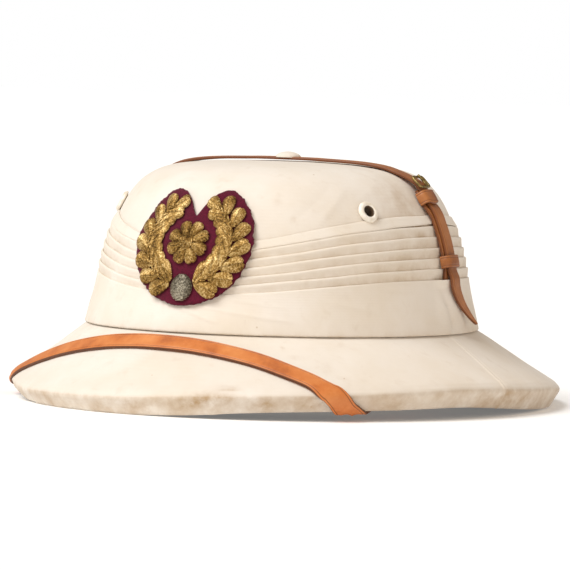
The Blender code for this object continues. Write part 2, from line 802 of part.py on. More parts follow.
def main():
    clear_scene()
    parts = make_collection("Sun helmet")
    cutters = make_collection("Cutters")
    drill = make_material("cotton_drill", (0.87, 0.80, 0.71), 0.85)
    band = make_material("band_cloth", (0.85, 0.77, 0.67), 0.85)
    lining = make_material("lining_cloth", (0.012, 0.011, 0.010), 0.9)
    tan = make_material("tan_leather", (0.52, 0.17, 0.05), 0.5)
    brown = make_material("brown_leather", (0.30, 0.11, 0.04), 0.5)
    metal = make_material("buckle_metal", (0.45, 0.38, 0.24), 0.35, 1.0)
    paint = make_material("white_paint", (0.85, 0.82, 0.76), 0.4)
    felt = make_material("crimson_felt", (0.15, 0.008, 0.03), 0.95)
    gold = make_material("gold_bullion", (0.45, 0.24, 0.06), 0.45, 0.8)
    silver = make_material("silver_bullion", (0.22, 0.17, 0.09), 0.5, 0.8)

    crown = build_crown(drill, parts)
    build_brim(drill, parts)
    build_lining(lining, parts)
    build_pleated_band(band, parts)
    build_lower_band(band, parts)
    build_chin_strap(tan, metal, parts)
    build_crown_straps(brown, parts)
    build_keeper("strap_loop", LOOP_HEIGHT, LOOP_LENGTH, brown, parts)
    build_keeper("strap_keeper", KEEPER_HEIGHT, KEEPER_LENGTH, brown, parts)
    build_buckle(metal, parts, cutters)
    build_button(drill, parts)
    build_eyelets(crown, paint, parts, cutters)
    build_badge(felt, gold, silver, parts)


main()
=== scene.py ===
import math

import bmesh
import bpy
from mathutils import Matrix, Vector, noise


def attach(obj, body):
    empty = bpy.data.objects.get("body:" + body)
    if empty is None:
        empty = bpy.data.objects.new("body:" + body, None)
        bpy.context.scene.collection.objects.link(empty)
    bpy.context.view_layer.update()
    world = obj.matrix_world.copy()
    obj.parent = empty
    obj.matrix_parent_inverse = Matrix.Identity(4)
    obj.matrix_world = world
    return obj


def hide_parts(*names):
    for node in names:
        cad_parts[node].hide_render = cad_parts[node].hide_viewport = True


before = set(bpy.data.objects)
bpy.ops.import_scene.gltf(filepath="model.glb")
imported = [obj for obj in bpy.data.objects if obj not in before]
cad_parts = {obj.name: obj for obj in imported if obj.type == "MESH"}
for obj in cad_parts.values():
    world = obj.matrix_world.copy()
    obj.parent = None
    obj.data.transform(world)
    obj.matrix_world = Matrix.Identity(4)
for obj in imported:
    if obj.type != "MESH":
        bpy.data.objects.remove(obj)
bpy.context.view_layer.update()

# Crown: a cork shell, about 3 mm thick, covered with off-white cotton drill that was wetted,
# stretched over it and glued. It is open underneath and pierced by a vent hole over each ear.
MM = 0.001
CROWN_LENGTH = 239 * MM
CROWN_WIDTH = 201 * MM
CROWN_BASE = 41 * MM
CROWN_RISE = 88.3 * MM
CROWN_TOP = CROWN_BASE + CROWN_RISE
CROWN_FORWARD = 9 * MM
CROWN_WALL = 2.6 * MM
VENT_ANGLE = math.radians(59)
VENT_HEIGHT = 104.8 * MM
VENT_HOLE = 2.8 * MM
AROUND = 384
# Spots and stains: degrees, height and size in mm, strength
CROWN_SPOTS = (
    (32.3, 100.7, 1.5, 0.55),
    (27, 109.3, 2.4, 0.35),
    (82, 104, 12, 0.55),
    (74, 112, 14, 0.5),
)
# Creases and pulls: two places, each an angle in degrees and a height in mm, then width and rise in mm
CROWN_CREASES = (
    ((52, 116.5), (41, 99), 2.0, 0.34),
    ((47, 118.5), (33, 100), 2.4, -0.28),
    ((70, 121.5), (60, 113), 2.0, 0.22),
    ((-20, 123.5), (5, 115), 4.0, 0.25),
)
# Share of the rise, share of the base width
CROWN_ROWS = (
    (0.000, 1.000),
    (0.110, 0.977),
    (0.190, 0.960),
    (0.280, 0.944),
    (0.390, 0.928),
    (0.510, 0.903),
    (0.590, 0.880),
    (0.660, 0.855),
    (0.730, 0.828),
    (0.800, 0.793),
    (0.865, 0.748),
    (0.910, 0.698),
    (0.945, 0.638),
    (0.972, 0.550),
    (0.990, 0.395),
    (1.000, 0.130),
)


def through(rows, steps):
    """Smooth curve through rows of numbers, with a number of steps between two rows."""
    points = [Vector(row) for row in rows]
    curve = []
    for place in range(len(points) - 1):
        here = points[place]
        there = points[place + 1]
        before = points[place - 1] if place else 2 * here - there
        after = points[place + 2] if place + 2 < len(points) else 2 * there - here
        for step in range(steps):
            share = step / steps
            curve.append(0.5 * (2 * here + (there - before) * share
                                + (2 * before - 5 * here + 4 * there - after) * share ** 2
                                + (3 * here - before - 3 * there + after) * share ** 3))
    curve.append(points[-1])
    return curve


def between(rows, value, column=1):
    """Read a column of a table at a value of its first column, straight between rows."""
    if value <= rows[0][0]:
        return rows[0][column]
    for low, high in zip(rows, rows[1:]):
        if value <= high[0]:
            share = (value - low[0]) / (high[0] - low[0])
            return low[column] + (high[column] - low[column]) * share
    return rows[-1][column]


def clamp(value):
    """Number kept from 0 to 1."""
    return max(0.0, min(1.0, value))


crown_curve = [tuple(row) for row in through(CROWN_ROWS, 6)]


def crown_point(angle, height, out=0.0):
    """Point on the crown at an angle and a height, moved outwards."""
    share = between(crown_curve, (height - CROWN_BASE) / CROWN_RISE)
    half_width = share * CROWN_WIDTH / 2 + out
    half_length = share * CROWN_LENGTH / 2 + out
    return Vector((half_width * math.sin(angle), -CROWN_FORWARD - half_length * math.cos(angle), height))


def crown_normal(angle, height):
    """Outward direction square to the crown."""
    turn = 0.01
    rise = 2 * MM
    across = crown_point(angle + turn, height) - crown_point(angle - turn, height)
    up = crown_point(angle, height + rise) - crown_point(angle, height - rise)
    return across.cross(up).normalized()


def waves(point, size, seed=0.0):
    """Smooth random height from -1 to 1 that changes over a distance."""
    return noise.noise(Vector(point) / size + Vector((seed, 2 * seed, 3 * seed)))


def ridge(angle, height, start, end, width):
    """Share of a crease between two places on the crown, each an angle in degrees and a height in mm."""
    girth = CROWN_WIDTH / 2
    place = Vector((angle * girth, height))
    low = Vector((math.radians(start[0]) * girth, start[1] * MM))
    high = Vector((math.radians(end[0]) * girth, end[1] * MM))
    along = high - low
    share = (place - low).dot(along) / along.length_squared
    away = (place - low - along * share).length
    fade = clamp(4 * share + 0.5) * clamp(4 * (1 - share) + 0.5)
    return fade * math.exp(-(away / (width * MM)) ** 2)


def skin(name, sections, closed=False, caps=True, wrap=True):
    """Mesh through a row of sections, each with as many points."""
    work = bmesh.new()
    loops = [[work.verts.new(point) for point in section] for section in sections]
    pairs = list(zip(loops, loops[1:]))
    if closed:
        pairs.append((loops[-1], loops[0]))
    round_steps = len(sections[0]) if wrap else len(sections[0]) - 1
    for here, there in pairs:
        for step in range(round_steps):
            after = (step + 1) % len(here)
            work.faces.new((here[step], here[after], there[after], there[step]))
    if caps and not closed:
        work.faces.new(loops[0])
        work.faces.new(loops[-1])
    bmesh.ops.recalc_face_normals(work, faces=work.faces)
    mesh = bpy.data.meshes.new(name)
    work.to_mesh(mesh)
    work.free()
    mesh.shade_smooth()
    return mesh


def mark(mesh, name, rows):
    """Give each point of a skinned mesh a number, from rows like its sections."""
    layer = mesh.attributes.new(name, "FLOAT", "POINT")
    layer.data.foreach_set("value", [value for row in rows for value in row])


def place_piece(name, mesh, material, nodes, sharp=None):
    """Show a mesh as a piece of the object that stands for CAD nodes."""
    piece = bpy.data.objects.new(name, mesh)
    bpy.context.scene.collection.objects.link(piece)
    return dress(piece, material, nodes, sharp)


def dress(piece, material, nodes, sharp=None):
    mesh = piece.data
    mesh.materials.clear()
    mesh.materials.append(material)
    mesh.shade_smooth()
    if sharp:
        mesh.set_sharp_from_angle(angle=math.radians(sharp))
    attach(piece, "root")
    if nodes:
        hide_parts(*nodes)
    return piece


def linear(colour):
    """sRGB hex value as a linear colour."""
    levels = [int(colour[place:place + 2], 16) / 255 for place in (1, 3, 5)]
    return tuple(v / 12.92 if v <= 0.04045 else ((v + 0.055) / 1.055) ** 2.4 for v in levels) + (1.0,)


def add(tree, kind, inputs=None, stops=(), **settings):
    """Add a node with its settings and stops. An input is a number, a hex colour or an output."""
    node = tree.nodes.new(kind)
    for key, value in settings.items():
        setattr(node, key, value)
    for socket, value in (inputs or {}).items():
        if isinstance(value, bpy.types.NodeSocket):
            tree.links.new(value, node.inputs[socket])
        else:
            node.inputs[socket].default_value = linear(value) if isinstance(value, str) else value
    if stops:
        while len(node.color_ramp.elements) < len(stops):
            node.color_ramp.elements.new(0.5)
        for element, (position, colour) in zip(node.color_ramp.elements, stops):
            element.position = position
            element.color = linear(colour)
    return node


def overlay(tree, colour, layers):
    """Lay colours over a colour: each layer is where it shows, how strongly and its hex colour."""
    for share, strength, over in layers:
        amount = add(tree, "ShaderNodeMath", {0: share, 1: strength}, operation="MULTIPLY").outputs[0]
        colour = add(tree, "ShaderNodeMix", {0: amount, 6: colour, 7: over}, data_type="RGBA").outputs[2]
    return colour


def new_material(name, roughness):
    """Material with a principled shader, and its tree and shader."""
    material = bpy.data.materials.new(name)
    material.use_nodes = True
    shader = material.node_tree.nodes["Principled BSDF"]
    shader.inputs["Roughness"].default_value = roughness
    return material, material.node_tree, shader


def cotton(name, clean, shade, dirt_and_shade, thread, weave_depth, soil_and_shade_from):
    """Woven cotton: matt, with a fine weave, faint yellowing in clouds and small specks of grime. Where a
    mesh carries its darkening attribute it grows darker still: real spots on the crown, soiling and painted
    shade on the brim's downward face, painted shade in the hollows of the pleats and the lower band.
    """
    material, tree, shader = new_material(name, 0.9)
    place = add(tree, "ShaderNodeTexCoord").outputs["Object"]
    clouds = add(tree, "ShaderNodeTexNoise",
                 {"Vector": place, "Scale": 1 / (45 * MM), "Detail": 4.0, "Roughness": 0.6}).outputs["Fac"]
    colour = add(tree, "ShaderNodeValToRGB", {0: clouds}, ((0.35, clean), (0.75, shade))).outputs["Color"]
    foxing = add(tree, "ShaderNodeTexNoise",
                 {"Vector": place, "Scale": 1 / (9 * MM), "Detail": 3.0}).outputs["Fac"]
    foxed = add(tree, "ShaderNodeValToRGB", {0: foxing},
                ((0.60, "#000000"), (0.80, "#ffffff"))).outputs["Color"]
    cells = add(tree, "ShaderNodeTexVoronoi",
                {"Vector": place, "Scale": 1 / (19 * MM), "Randomness": 1.0}).outputs["Distance"]
    specks = add(tree, "ShaderNodeValToRGB", {0: cells},
                 ((0.018, "#ffffff"), (0.034, "#000000"))).outputs["Color"]
    layers = [(foxed, 0.16, dirt_and_shade), (specks, 0.5, dirt_and_shade)]
    # Darkening read from the mesh: real stains, and painted shade in the hollows of the folds and on the
    # brim's downward face.
    if soil_and_shade_from:
        soil_and_shade = add(tree, "ShaderNodeAttribute", attribute_name=soil_and_shade_from).outputs["Fac"]
        smear = add(tree, "ShaderNodeTexNoise",
                    {"Vector": place, "Scale": 1 / (14 * MM), "Detail": 5.0, "Roughness": 0.65})
        patch = add(tree, "ShaderNodeValToRGB", {0: smear.outputs["Fac"]},
                    ((0.30, "#333333"), (0.70, "#ffffff"))).outputs["Color"]
        layers.append((soil_and_shade, patch, dirt_and_shade))
    tree.links.new(overlay(tree, colour, layers), shader.inputs["Base Color"])
    shader.inputs["Sheen Weight"].default_value = 0.15
    shader.inputs["Sheen Roughness"].default_value = 0.6
    shader.inputs["Specular IOR Level"].default_value = 0.25
    weft = add(tree, "ShaderNodeTexWave",
               {"Vector": place, "Scale": 1 / (thread * math.tau), "Distortion": 0.6, "Detail": 1.0,
                "Detail Scale": 2.0}, bands_direction="Z").outputs["Fac"]
    nap = add(tree, "ShaderNodeTexNoise",
              {"Vector": place, "Scale": 1 / (1.1 * MM), "Detail": 2.0}).outputs["Fac"]
    rib = add(tree, "ShaderNodeMath", {0: weft, 1: 0.5}, operation="MULTIPLY").outputs[0]
    height = add(tree, "ShaderNodeMath", {0: rib, 1: nap}, operation="ADD").outputs[0]
    bump = add(tree, "ShaderNodeBump", {"Strength": 1.0, "Distance": weave_depth, "Height": height})
    tree.links.new(bump.outputs["Normal"], shader.inputs["Normal"])
    return material


# Cotton drill: a close twill about 0.5 mm a rib, drawn here at 0.9 mm so that it shows at all
drill = cotton("cotton_drill_off_white", "#e9e1d6", "#e1d5c4", "#b39570", 0.9 * MM, 0.05 * MM, "soil_and_shade")


def spot(angle, height, degrees, level, size):
    """Share of a round spot on the crown, its place an angle in degrees and a height in mm."""
    aside = (angle - math.radians(degrees)) * CROWN_WIDTH / 2
    return math.exp(-(aside ** 2 + (height - level * MM) ** 2) / (size * MM) ** 2)


def crown_swell(angle, height):
    """How far the cloth lies off the even form: soft dents in the cork and faint pulls in the cloth."""
    point = crown_point(angle, height)
    swell = 0.5 * waves(point, 42 * MM) + 0.16 * waves(point, 15 * MM, 5)
    for start, end, width, rise in CROWN_CREASES:
        swell += rise * ridge(angle, height, start, end, width)
    return swell * MM


angles = [2 * math.pi * step / AROUND for step in range(AROUND)]
sections = []
soil_and_shade_rows = []
for rise, share in crown_curve[::-9]:
    height = CROWN_BASE + CROWN_RISE * rise
    flat = max(0.0, (rise - 0.8) / 0.2)
    inset = min(CROWN_WALL * (1 - 0.5 * flat), 0.3 * share * CROWN_WIDTH)
    sections.append([Vector(((share * CROWN_WIDTH / 2 - inset) * math.sin(angle),
                             -CROWN_FORWARD - (share * CROWN_LENGTH / 2 - inset) * math.cos(angle),
                             height - CROWN_WALL * flat)) for angle in angles])
    soil_and_shade_rows.append([0.0] * len(angles))
for rise, share in crown_curve:
    height = CROWN_BASE + CROWN_RISE * rise
    level = clamp((rise - 0.93) / 0.07)
    section = []
    soil_and_shade_levels = []
    for angle in angles:
        out = crown_swell(angle, height)
        outwards = out * (1 - level)
        section.append(Vector(((share * CROWN_WIDTH / 2 + outwards) * math.sin(angle),
                               -CROWN_FORWARD - (share * CROWN_LENGTH / 2 + outwards) * math.cos(angle),
                               height + out * level)))
        soil_and_shade_levels.append(sum(strength * spot(angle, height, degrees, middle, size)
                         for degrees, middle, size, strength in CROWN_SPOTS))
    sections.append(section)
    soil_and_shade_rows.append(soil_and_shade_levels)
mesh = skin("crown_cloth", sections)
mark(mesh, "soil_and_shade", soil_and_shade_rows)
crown = place_piece("crown_cloth", mesh, drill, ["crown"], 50)
for side in (1, -1):
    bpy.ops.object.select_all(action="DESELECT")
    normal = crown_normal(side * VENT_ANGLE, VENT_HEIGHT)
    bpy.ops.mesh.primitive_cylinder_add(vertices=32, radius=VENT_HOLE + 0.4 * MM, depth=24 * MM,
                                        location=crown_point(side * VENT_ANGLE, VENT_HEIGHT),
                                        rotation=normal.to_track_quat("Z", "Y").to_euler())
    drift = bpy.context.object
    cut = crown.modifiers.new("Vent", "BOOLEAN")
    cut.operation = "DIFFERENCE"
    cut.object = drift
    bpy.context.view_layer.objects.active = crown
    bpy.ops.object.modifier_apply(modifier=cut.name)
    bpy.data.objects.remove(drift, do_unlink=True)

# Brim: a sloping plate of cork, covered with drill above and round a turned-down rim, whose
# lower face is darkened: partly soiling from handling, partly painted shade where it faces down.
# The cover is sewn from a front and a back piece, so a narrow welt runs down the brim beside
# each ear. The rim is arched a little at the ears.
BRIM_LENGTH = 348 * MM
BRIM_WIDTH = 284 * MM
BRIM_THICK = 4.5 * MM
CREASE_INSET = 3 * MM
CREASE_HIGH = 19 * MM
RIM_DROP = 3.5 * MM
RIM_LEAN = 5.5 * MM
RIM_FOOT = 3 * MM
RIM_ARCH = 6 * MM
WELT_WIDTH = 0.8 * MM
WELT_PROUD = 0.55 * MM
# Angle in degrees, share of the rim's arch, share of the crease's height
BRIM_ROWS = (
    (-180, 0.00, 0.61),
    (-150, 0.00, 0.63),
    (-110, 0.50, 0.68),
    (-85, 0.80, 0.70),
    (-58, 0.78, 0.63),
    (-40, 0.10, 0.56),
    (-25, 0.00, 0.58),
    (-5, 0.00, 0.65),
    (10, 0.22, 0.76),
    (20, 0.53, 0.81),
    (30, 0.73, 0.85),
    (45, 0.87, 0.90),
    (60, 0.97, 0.98),
    (70, 1.00, 1.00),
    (80, 0.77, 0.96),
    (99, 0.20, 0.82),
    (115, 0.00, 0.70),
    (140, 0.00, 0.62),
    (180, 0.00, 0.61),
)
# Where the welt runs: station on the brim's section (1 crown, 2 crease, 3 rim, 4 foot), degrees
WELT_ROWS = ((1.0, 87.0), (2.0, 80.6), (4.0, 80.6))
# Corners' roundness in mm, and points on the way to the next corner
CORNER_RADII = (0.4, 0.6, 0.0, 3.0, 2.0, 2.0, 2.5, 0.6)
CORNER_RUNS = (1, 22, 2, 9, 1, 3, 10, 1)
# Roundness of the crease in mm at an angle in degrees
CREASE_RADII = ((-120, 3), (-60, 4.5), (5, 4.5), (35, 1.8), (130, 1.4), (180, 3))
WELT_MIDDLE = math.radians(83.8)
WELT_STEPS = 36
WELT_STEP = math.radians(0.16)
# Stains and marks on the brim: degrees, station, size in degrees, size in stations, strength
RIM_STAINS = (
    (15.5, 2.9, 4.5, 0.50, 0.85),
    (11.5, 3.3, 3.0, 0.40, 0.50),
    (26.5, 3.5, 1.5, 0.25, 0.70),
    (-12.0, 2.1, 1.2, 0.10, 0.60),
    (33.5, 1.40, 1.6, 0.035, 0.45),
    (30.0, 1.22, 0.35, 0.03, 0.55),
    (19.0, 2.0, 2.4, 0.05, 0.55),
    (0.0, 3.4, 9.0, 0.50, 0.25),
    (-30.0, 3.0, 14.0, 0.60, 0.15),
    (40.0, 3.5, 4.0, 0.50, 0.45),
    (84.0, 3.6, 8.0, 0.60, 0.50),
    (40.0, 1.60, 1.4, 0.12, 0.30),
)
brim_curve = [tuple(row) for row in through(BRIM_ROWS, 6)]


def brim_heights(angle):
    """Heights over the ground of the rim's foot and of the crease at an angle."""
    turn = math.degrees(math.remainder(angle, 2 * math.pi))
    return RIM_ARCH * max(0.0, between(brim_curve, turn, 1)), CREASE_HIGH * between(brim_curve, turn, 2)


def brim_point(angle, inset, height):
    """Point at a distance inside the brim's outline."""
    half_width = BRIM_WIDTH / 2 - inset
    half_length = BRIM_LENGTH / 2 - inset
    return Vector((half_width * math.sin(angle), -half_length * math.cos(angle), height))


def brim_corners(angle):
    """Corners of the brim's section: crown, crease, rim, two of the foot, hollow, inner edges."""
    foot, crease = brim_heights(angle)
    inner_top = crown_point(angle, CROWN_BASE, -CROWN_WALL)
    return [
        inner_top,
        crown_point(angle, CROWN_BASE),
        brim_point(angle, CREASE_INSET, crease),
        brim_point(angle, 0, crease - RIM_DROP),
        brim_point(angle, RIM_LEAN, foot),
        brim_point(angle, RIM_LEAN + RIM_FOOT, foot),
        brim_point(angle, RIM_LEAN + 1.5 * RIM_FOOT, crease - BRIM_THICK),
        inner_top - Vector((0, 0, BRIM_THICK)),
    ]


def brim_line(angle):
    """Section of the brim with rounded corners: rows of station and point."""
    turn = math.degrees(math.remainder(angle, 2 * math.pi))
    corners = brim_corners(angle)
    radii = [size * MM for size in CORNER_RADII]
    radii[2] = between(CREASE_RADII, turn) * MM
    count = len(corners)
    bends = 4
    line = []
    for place, here in enumerate(corners):
        before = corners[place - 1]
        after = corners[(place + 1) % count]
        back = (here - before).length
        ahead = (after - here).length
        reach = min(radii[place], 0.48 * back, 0.48 * ahead)
        nearby = min(radii[(place + 1) % count], 0.48 * ahead)
        start = here.lerp(before, reach / back)
        end = here.lerp(after, reach / ahead)
        stop = after.lerp(here, nearby / ahead)
        for step in range(bends + 1):
            share = step / bends
            station = place
            if share < 0.5:
                station += reach / back * (share - 1)
            elif share > 0.5:
                station += reach / ahead * share
            bend = start * (1 - share) ** 2 + here * 2 * share * (1 - share) + end * share ** 2
            line.append((station, bend))
        for step in range(1, CORNER_RUNS[place] + 1):
            share = step / (CORNER_RUNS[place] + 1)
            station = (place + reach / ahead) * (1 - share) + (place + 1 - nearby / ahead) * share
            line.append((station, end.lerp(stop, share)))
    return line


def brim_lift(angle, station, point):
    """How far the cover lies off the even form: soft dents, the welt and the puckered lower face."""
    if not 1.0 < station < 4.2:
        return 0.0
    over = min(1.0, (station - 1.0) * 6)
    lift = over * (0.4 * waves(point, 38 * MM, 3) + 0.13 * waves(point, 12 * MM, 4)) * MM
    turn = abs(math.remainder(angle, 2 * math.pi))
    off = (turn - math.radians(between(WELT_ROWS, station))) * brim_point(angle, 0, 0).length
    lift += WELT_PROUD * math.exp(-(off / WELT_WIDTH) ** 2)
    lift -= 0.3 * MM * math.exp(-((off - 2.2 * WELT_WIDTH) / WELT_WIDTH) ** 2)
    face = clamp((station - 2.3) / 0.7)
    pucker = waves((point.x, point.y, point.z * 0.35), 8 * MM, 9)
    lift += face * (0.45 * pucker + 0.5 * waves(point, 22 * MM, 12)) * MM
    return max(lift, -0.9 * MM)


def brim_cover(angle):
    """Section of the brim as the cloth lies on it: rows of station and point."""
    line = brim_line(angle)
    side_way = brim_point(angle + 0.01, 0, 0) - brim_point(angle - 0.01, 0, 0)
    cover = []
    for place, (station, point) in enumerate(line):
        ahead = line[(place + 1) % len(line)][1] - line[place - 1][1]
        moved = point + ahead.cross(side_way).normalized() * brim_lift(angle, station, point)
        moved.z = max(moved.z, 0.0)
        cover.append((station, moved))
    return cover


brim_angles = set(round(angle, 6) for angle in angles)
for side in (1, -1):
    for step in range(-WELT_STEPS, WELT_STEPS + 1):
        brim_angles.add(round((side * WELT_MIDDLE + step * WELT_STEP) % (2 * math.pi), 6))
brim_angles = sorted(brim_angles)
sections = []
soil_and_shade_rows = []
for angle in brim_angles:
    cover = brim_cover(angle)
    turn = math.degrees(math.remainder(angle, 2 * math.pi))
    sections.append([point for station, point in cover])
    soil_and_shade_levels = []
    for station, point in cover:
        # The rim's downward face and foot are darkened, partly real soiling and partly painted shade where
        # they face down; the outer part of the top is darkened a little; the listed stains are real marks.
        face = clamp((station - 2.5) / 0.5) * (station < 5)
        soil_and_shade = 0.62 * face + 0.08 * clamp((station - 1.75) / 0.25) * (station < 5)
        for degrees, level, wide, high, strength in RIM_STAINS:
            soil_and_shade += strength * math.exp(-((turn - degrees) / wide) ** 2 - ((station - level) / high) ** 2)
        soil_and_shade_levels.append(soil_and_shade)
    soil_and_shade_rows.append(soil_and_shade_levels)
mesh = skin("brim_cloth", sections, closed=True)
mark(mesh, "soil_and_shade", soil_and_shade_rows)
place_piece("brim_cloth", mesh, drill, ["brim"], 60)

# Lining: a sheet of dark green-black cotton glued under the brim, from the hollow behind the rim
# to the head opening.
LINING_THICK = 0.8 * MM
LINING_ROWS = 14
# Plain dark cotton: threads about 0.4 mm apart, drawn at 0.7 mm so that they show
lining_cloth = cotton("lining_cotton_dark", "#1c1b17", "#26251f", "#100f0d", 0.7 * MM, 0.05 * MM, None)


def thicken(piece, thick, even=False):
    """Give a sheet its thickness, half to each side, and return its area in square metres."""
    cloth = piece.modifiers.new("Cloth", "SOLIDIFY")
    cloth.thickness = thick
    cloth.offset = 0.0
    cloth.use_even_offset = even
    return round(sum(face.area for face in piece.data.polygons), 4)


sections = []
for angle in angles:
    hollow, opening = brim_corners(angle)[6:8]
    section = []
    for step in range(LINING_ROWS + 1):
        share = 0.03 + 0.97 * step / LINING_ROWS
        point = hollow.lerp(opening, share)
        sag = (0.55 + 0.2 * waves(point, 25 * MM, 7)) * MM
        section.append(point - Vector((0, 0, sag)))
    sections.append(section)
mesh = skin("lining_sheet", sections, closed=True, wrap=False)
lining = place_piece("lining_sheet", mesh, lining_cloth, ["brim_lining"])
lining_area = thicken(lining, LINING_THICK, even=True)

# Pleated band: a strip of fine cotton laid in six overlapping pleats round the crown and stitched
# down. Each pleat's folded upper edge stands a little proud of the one above it.
PLEATS = 6
PLEAT_TOP = 103.1 * MM
PLEAT_FRONT_DIP = 17 * MM
PLEAT_BACK_DIP = 8 * MM
BAND_TOP = 69.8 * MM
BAND_FRONT_DIP = 9 * MM
BAND_BACK_DIP = 3 * MM
BAND_LOW = 1.75 * MM
CLOTH_THICK = 0.42 * MM
PLEAT_AROUND = 312
# Cotton lawn: threads about 0.3 mm apart, drawn at 0.7 mm so that they show
band_cloth = cotton("cotton_lawn_pleated", "#ebe3d8", "#e3d7c5", "#b3966f", 0.7 * MM, 0.035 * MM, "soil_and_shade")


def fold_height(angle, share):
    """Height of a fold: share 0 is the lower band's top edge, 1 the top pleat's."""
    front = BAND_FRONT_DIP + (PLEAT_FRONT_DIP - BAND_FRONT_DIP) * share
    rear = BAND_BACK_DIP + (PLEAT_BACK_DIP - BAND_BACK_DIP) * share
    facing = math.cos(angle)
    dip = front * facing ** 3 if facing > 0 else rear * facing ** 2
    return BAND_TOP + (PLEAT_TOP - BAND_TOP) * share - dip


def fold_edge(angle, place):
    """Height of a fold with the small waver of cloth that was laid by hand."""
    waver = waves((4 * math.sin(angle), 4 * math.cos(angle), 1.7 * place), 1.0)
    return fold_height(angle, place / PLEATS) + 0.42 * MM * waver * (place > 0)


def near_ears(angle, degrees, wide):
    """Share of a soft patch on both sides of the hat, at an angle from the front and as wide."""
    away = abs(math.remainder(angle, 2 * math.pi)) - math.radians(degrees)
    return math.exp(-(away / math.radians(wide)) ** 2)


def pleat_path(angle):
    """Path of the cloth down the pleats: rows of height, distance off the crown and painted shade, darkest
    under the top fold and where each pleat runs in behind the fold below it.
    """
    edges = [fold_edge(angle, place) for place in range(PLEATS + 1)]
    gap = (0.15 + near_ears(angle, 90, 17)) * MM
    top = edges[PLEATS]
    lower = edges[PLEATS - 1] + gap
    rows = [
        (top - 2.4 * MM, 0.30, 0.1), (top - 0.3 * MM, 0.45, 0.0), (top + 0.1 * MM, 0.8, 0.0),
        (top - 0.4 * MM, 1.1, 0.0), (top - 0.35 * (top - lower), 1.35, 0.0), (lower + 0.9 * MM, 1.95, 0.0),
        (lower + 0.25 * MM, 1.8, 0.1), (lower + 0.3 * MM, 1.2, 0.7), (lower + 0.9 * MM, 0.7, 0.9),
        (lower - gap + 0.1 * MM, 0.4, 0.8), (lower - gap - 1.7 * MM, 0.38, 0.5),
    ]
    for place in range(PLEATS - 1, 0, -1):
        edge = edges[place]
        below = edges[place - 1]
        rows += [
            (edge - 2.3 * MM, 0.7, 0.4), (edge - 2.2 * MM, 0.95, 0.3), (edge - 0.5 * MM, 1.25, 0.1),
            (edge, 1.55, 0.0), (edge - 0.28 * MM, 1.9, 0.0), (edge - 1.0 * MM, 1.95, 0.12),
            ((edge + below) / 2, 1.5, 0.26), (below + 0.5 * MM, 1.05, 0.42), (below - 1.3 * MM, 0.62, 0.5),
        ]
    return [tuple(row) for row in through([(height / MM, out, soil_and_shade) for height, out, soil_and_shade in rows], 2)]


sections = []
soil_and_shade_rows = []
for step in range(PLEAT_AROUND):
    angle = 2 * math.pi * step / PLEAT_AROUND
    # The painted shade in the pleats' hollows is stronger near the ears.
    darker_near_ears = near_ears(angle, 85, 30)
    section = []
    soil_and_shade_levels = []
    for height, out, soil_and_shade in pleat_path(angle):
        point = crown_point(angle, height * MM)
        pull = 0.22 * waves(point, 26 * MM, 21) + 0.10 * waves((point.x, point.y, 3 * point.z), 7 * MM, 23)
        section.append(crown_point(angle, height * MM, (out + pull * min(1.0, out)) * MM))
        soil_and_shade_levels.append(soil_and_shade * (0.8 + 0.9 * darker_near_ears + 0.5 * waves(point, 30 * MM, 25)))
    sections.append(section)
    soil_and_shade_rows.append(soil_and_shade_levels)
mesh = skin("pleated_cloth", sections, closed=True, wrap=False)
mark(mesh, "soil_and_shade", soil_and_shade_rows)
pleats = place_piece("pleated_cloth", mesh, band_cloth, ["pleated_band"])
pleat_area = thicken(pleats, CLOTH_THICK)

# Lower band: a wider strip of the same cotton, turned in at both edges and drawn smooth round the
# foot of the crown over the pleats' ends. It lifts at each ear over the straps tucked behind it.
EAR = math.radians(90)
BULGE_HALF = math.radians(3.4)
BULGE_FADE = math.radians(9)
# Share of the band's height, how far it stands off the straps' ends in mm
BULGE_ROWS = ((0.0, 0.0), (0.5, 1.9), (0.85, 1.9), (1.0, 3.0))
# Creases: two places, each an angle in degrees and a height in mm, then width and rise in mm
BAND_CREASES = (
    ((-6.8, 58.1), (2.3, 51.7), 0.9, 0.45),
    ((2.3, 51.7), (10.8, 46.8), 0.9, 0.45),
    ((0.4, 56.7), (12, 53.0), 0.9, 0.35),
    ((12, 53.0), (32, 48.5), 1.0, 0.35),
    ((14, 59.0), (30, 55.5), 0.8, 0.22),
    ((85.2, 66.0), (87.0, 57.0), 2.6, -1.1),
    ((86.6, 59.0), (89.8, 43.0), 2.4, -1.1),
    ((93, 68.0), (98, 50.0), 2.0, -0.35),
    ((62, 66.0), (72, 63.5), 1.2, 0.22),
    ((40, 60.0), (58, 54.0), 1.6, 0.18),
)


def ear_bulge(angle):
    """Share of the swelling where the straps' ends are tucked behind the lower band."""
    turn = abs(abs(math.remainder(angle, 2 * math.pi)) - EAR)
    share = clamp((BULGE_FADE - turn) / (BULGE_FADE - BULGE_HALF))
    return share * share * (3 - 2 * share)


def band_bulge(angle, share):
    """How far the lower band stands off at a share of its height."""
    return ear_bulge(angle) * between(BULGE_ROWS, share) * MM


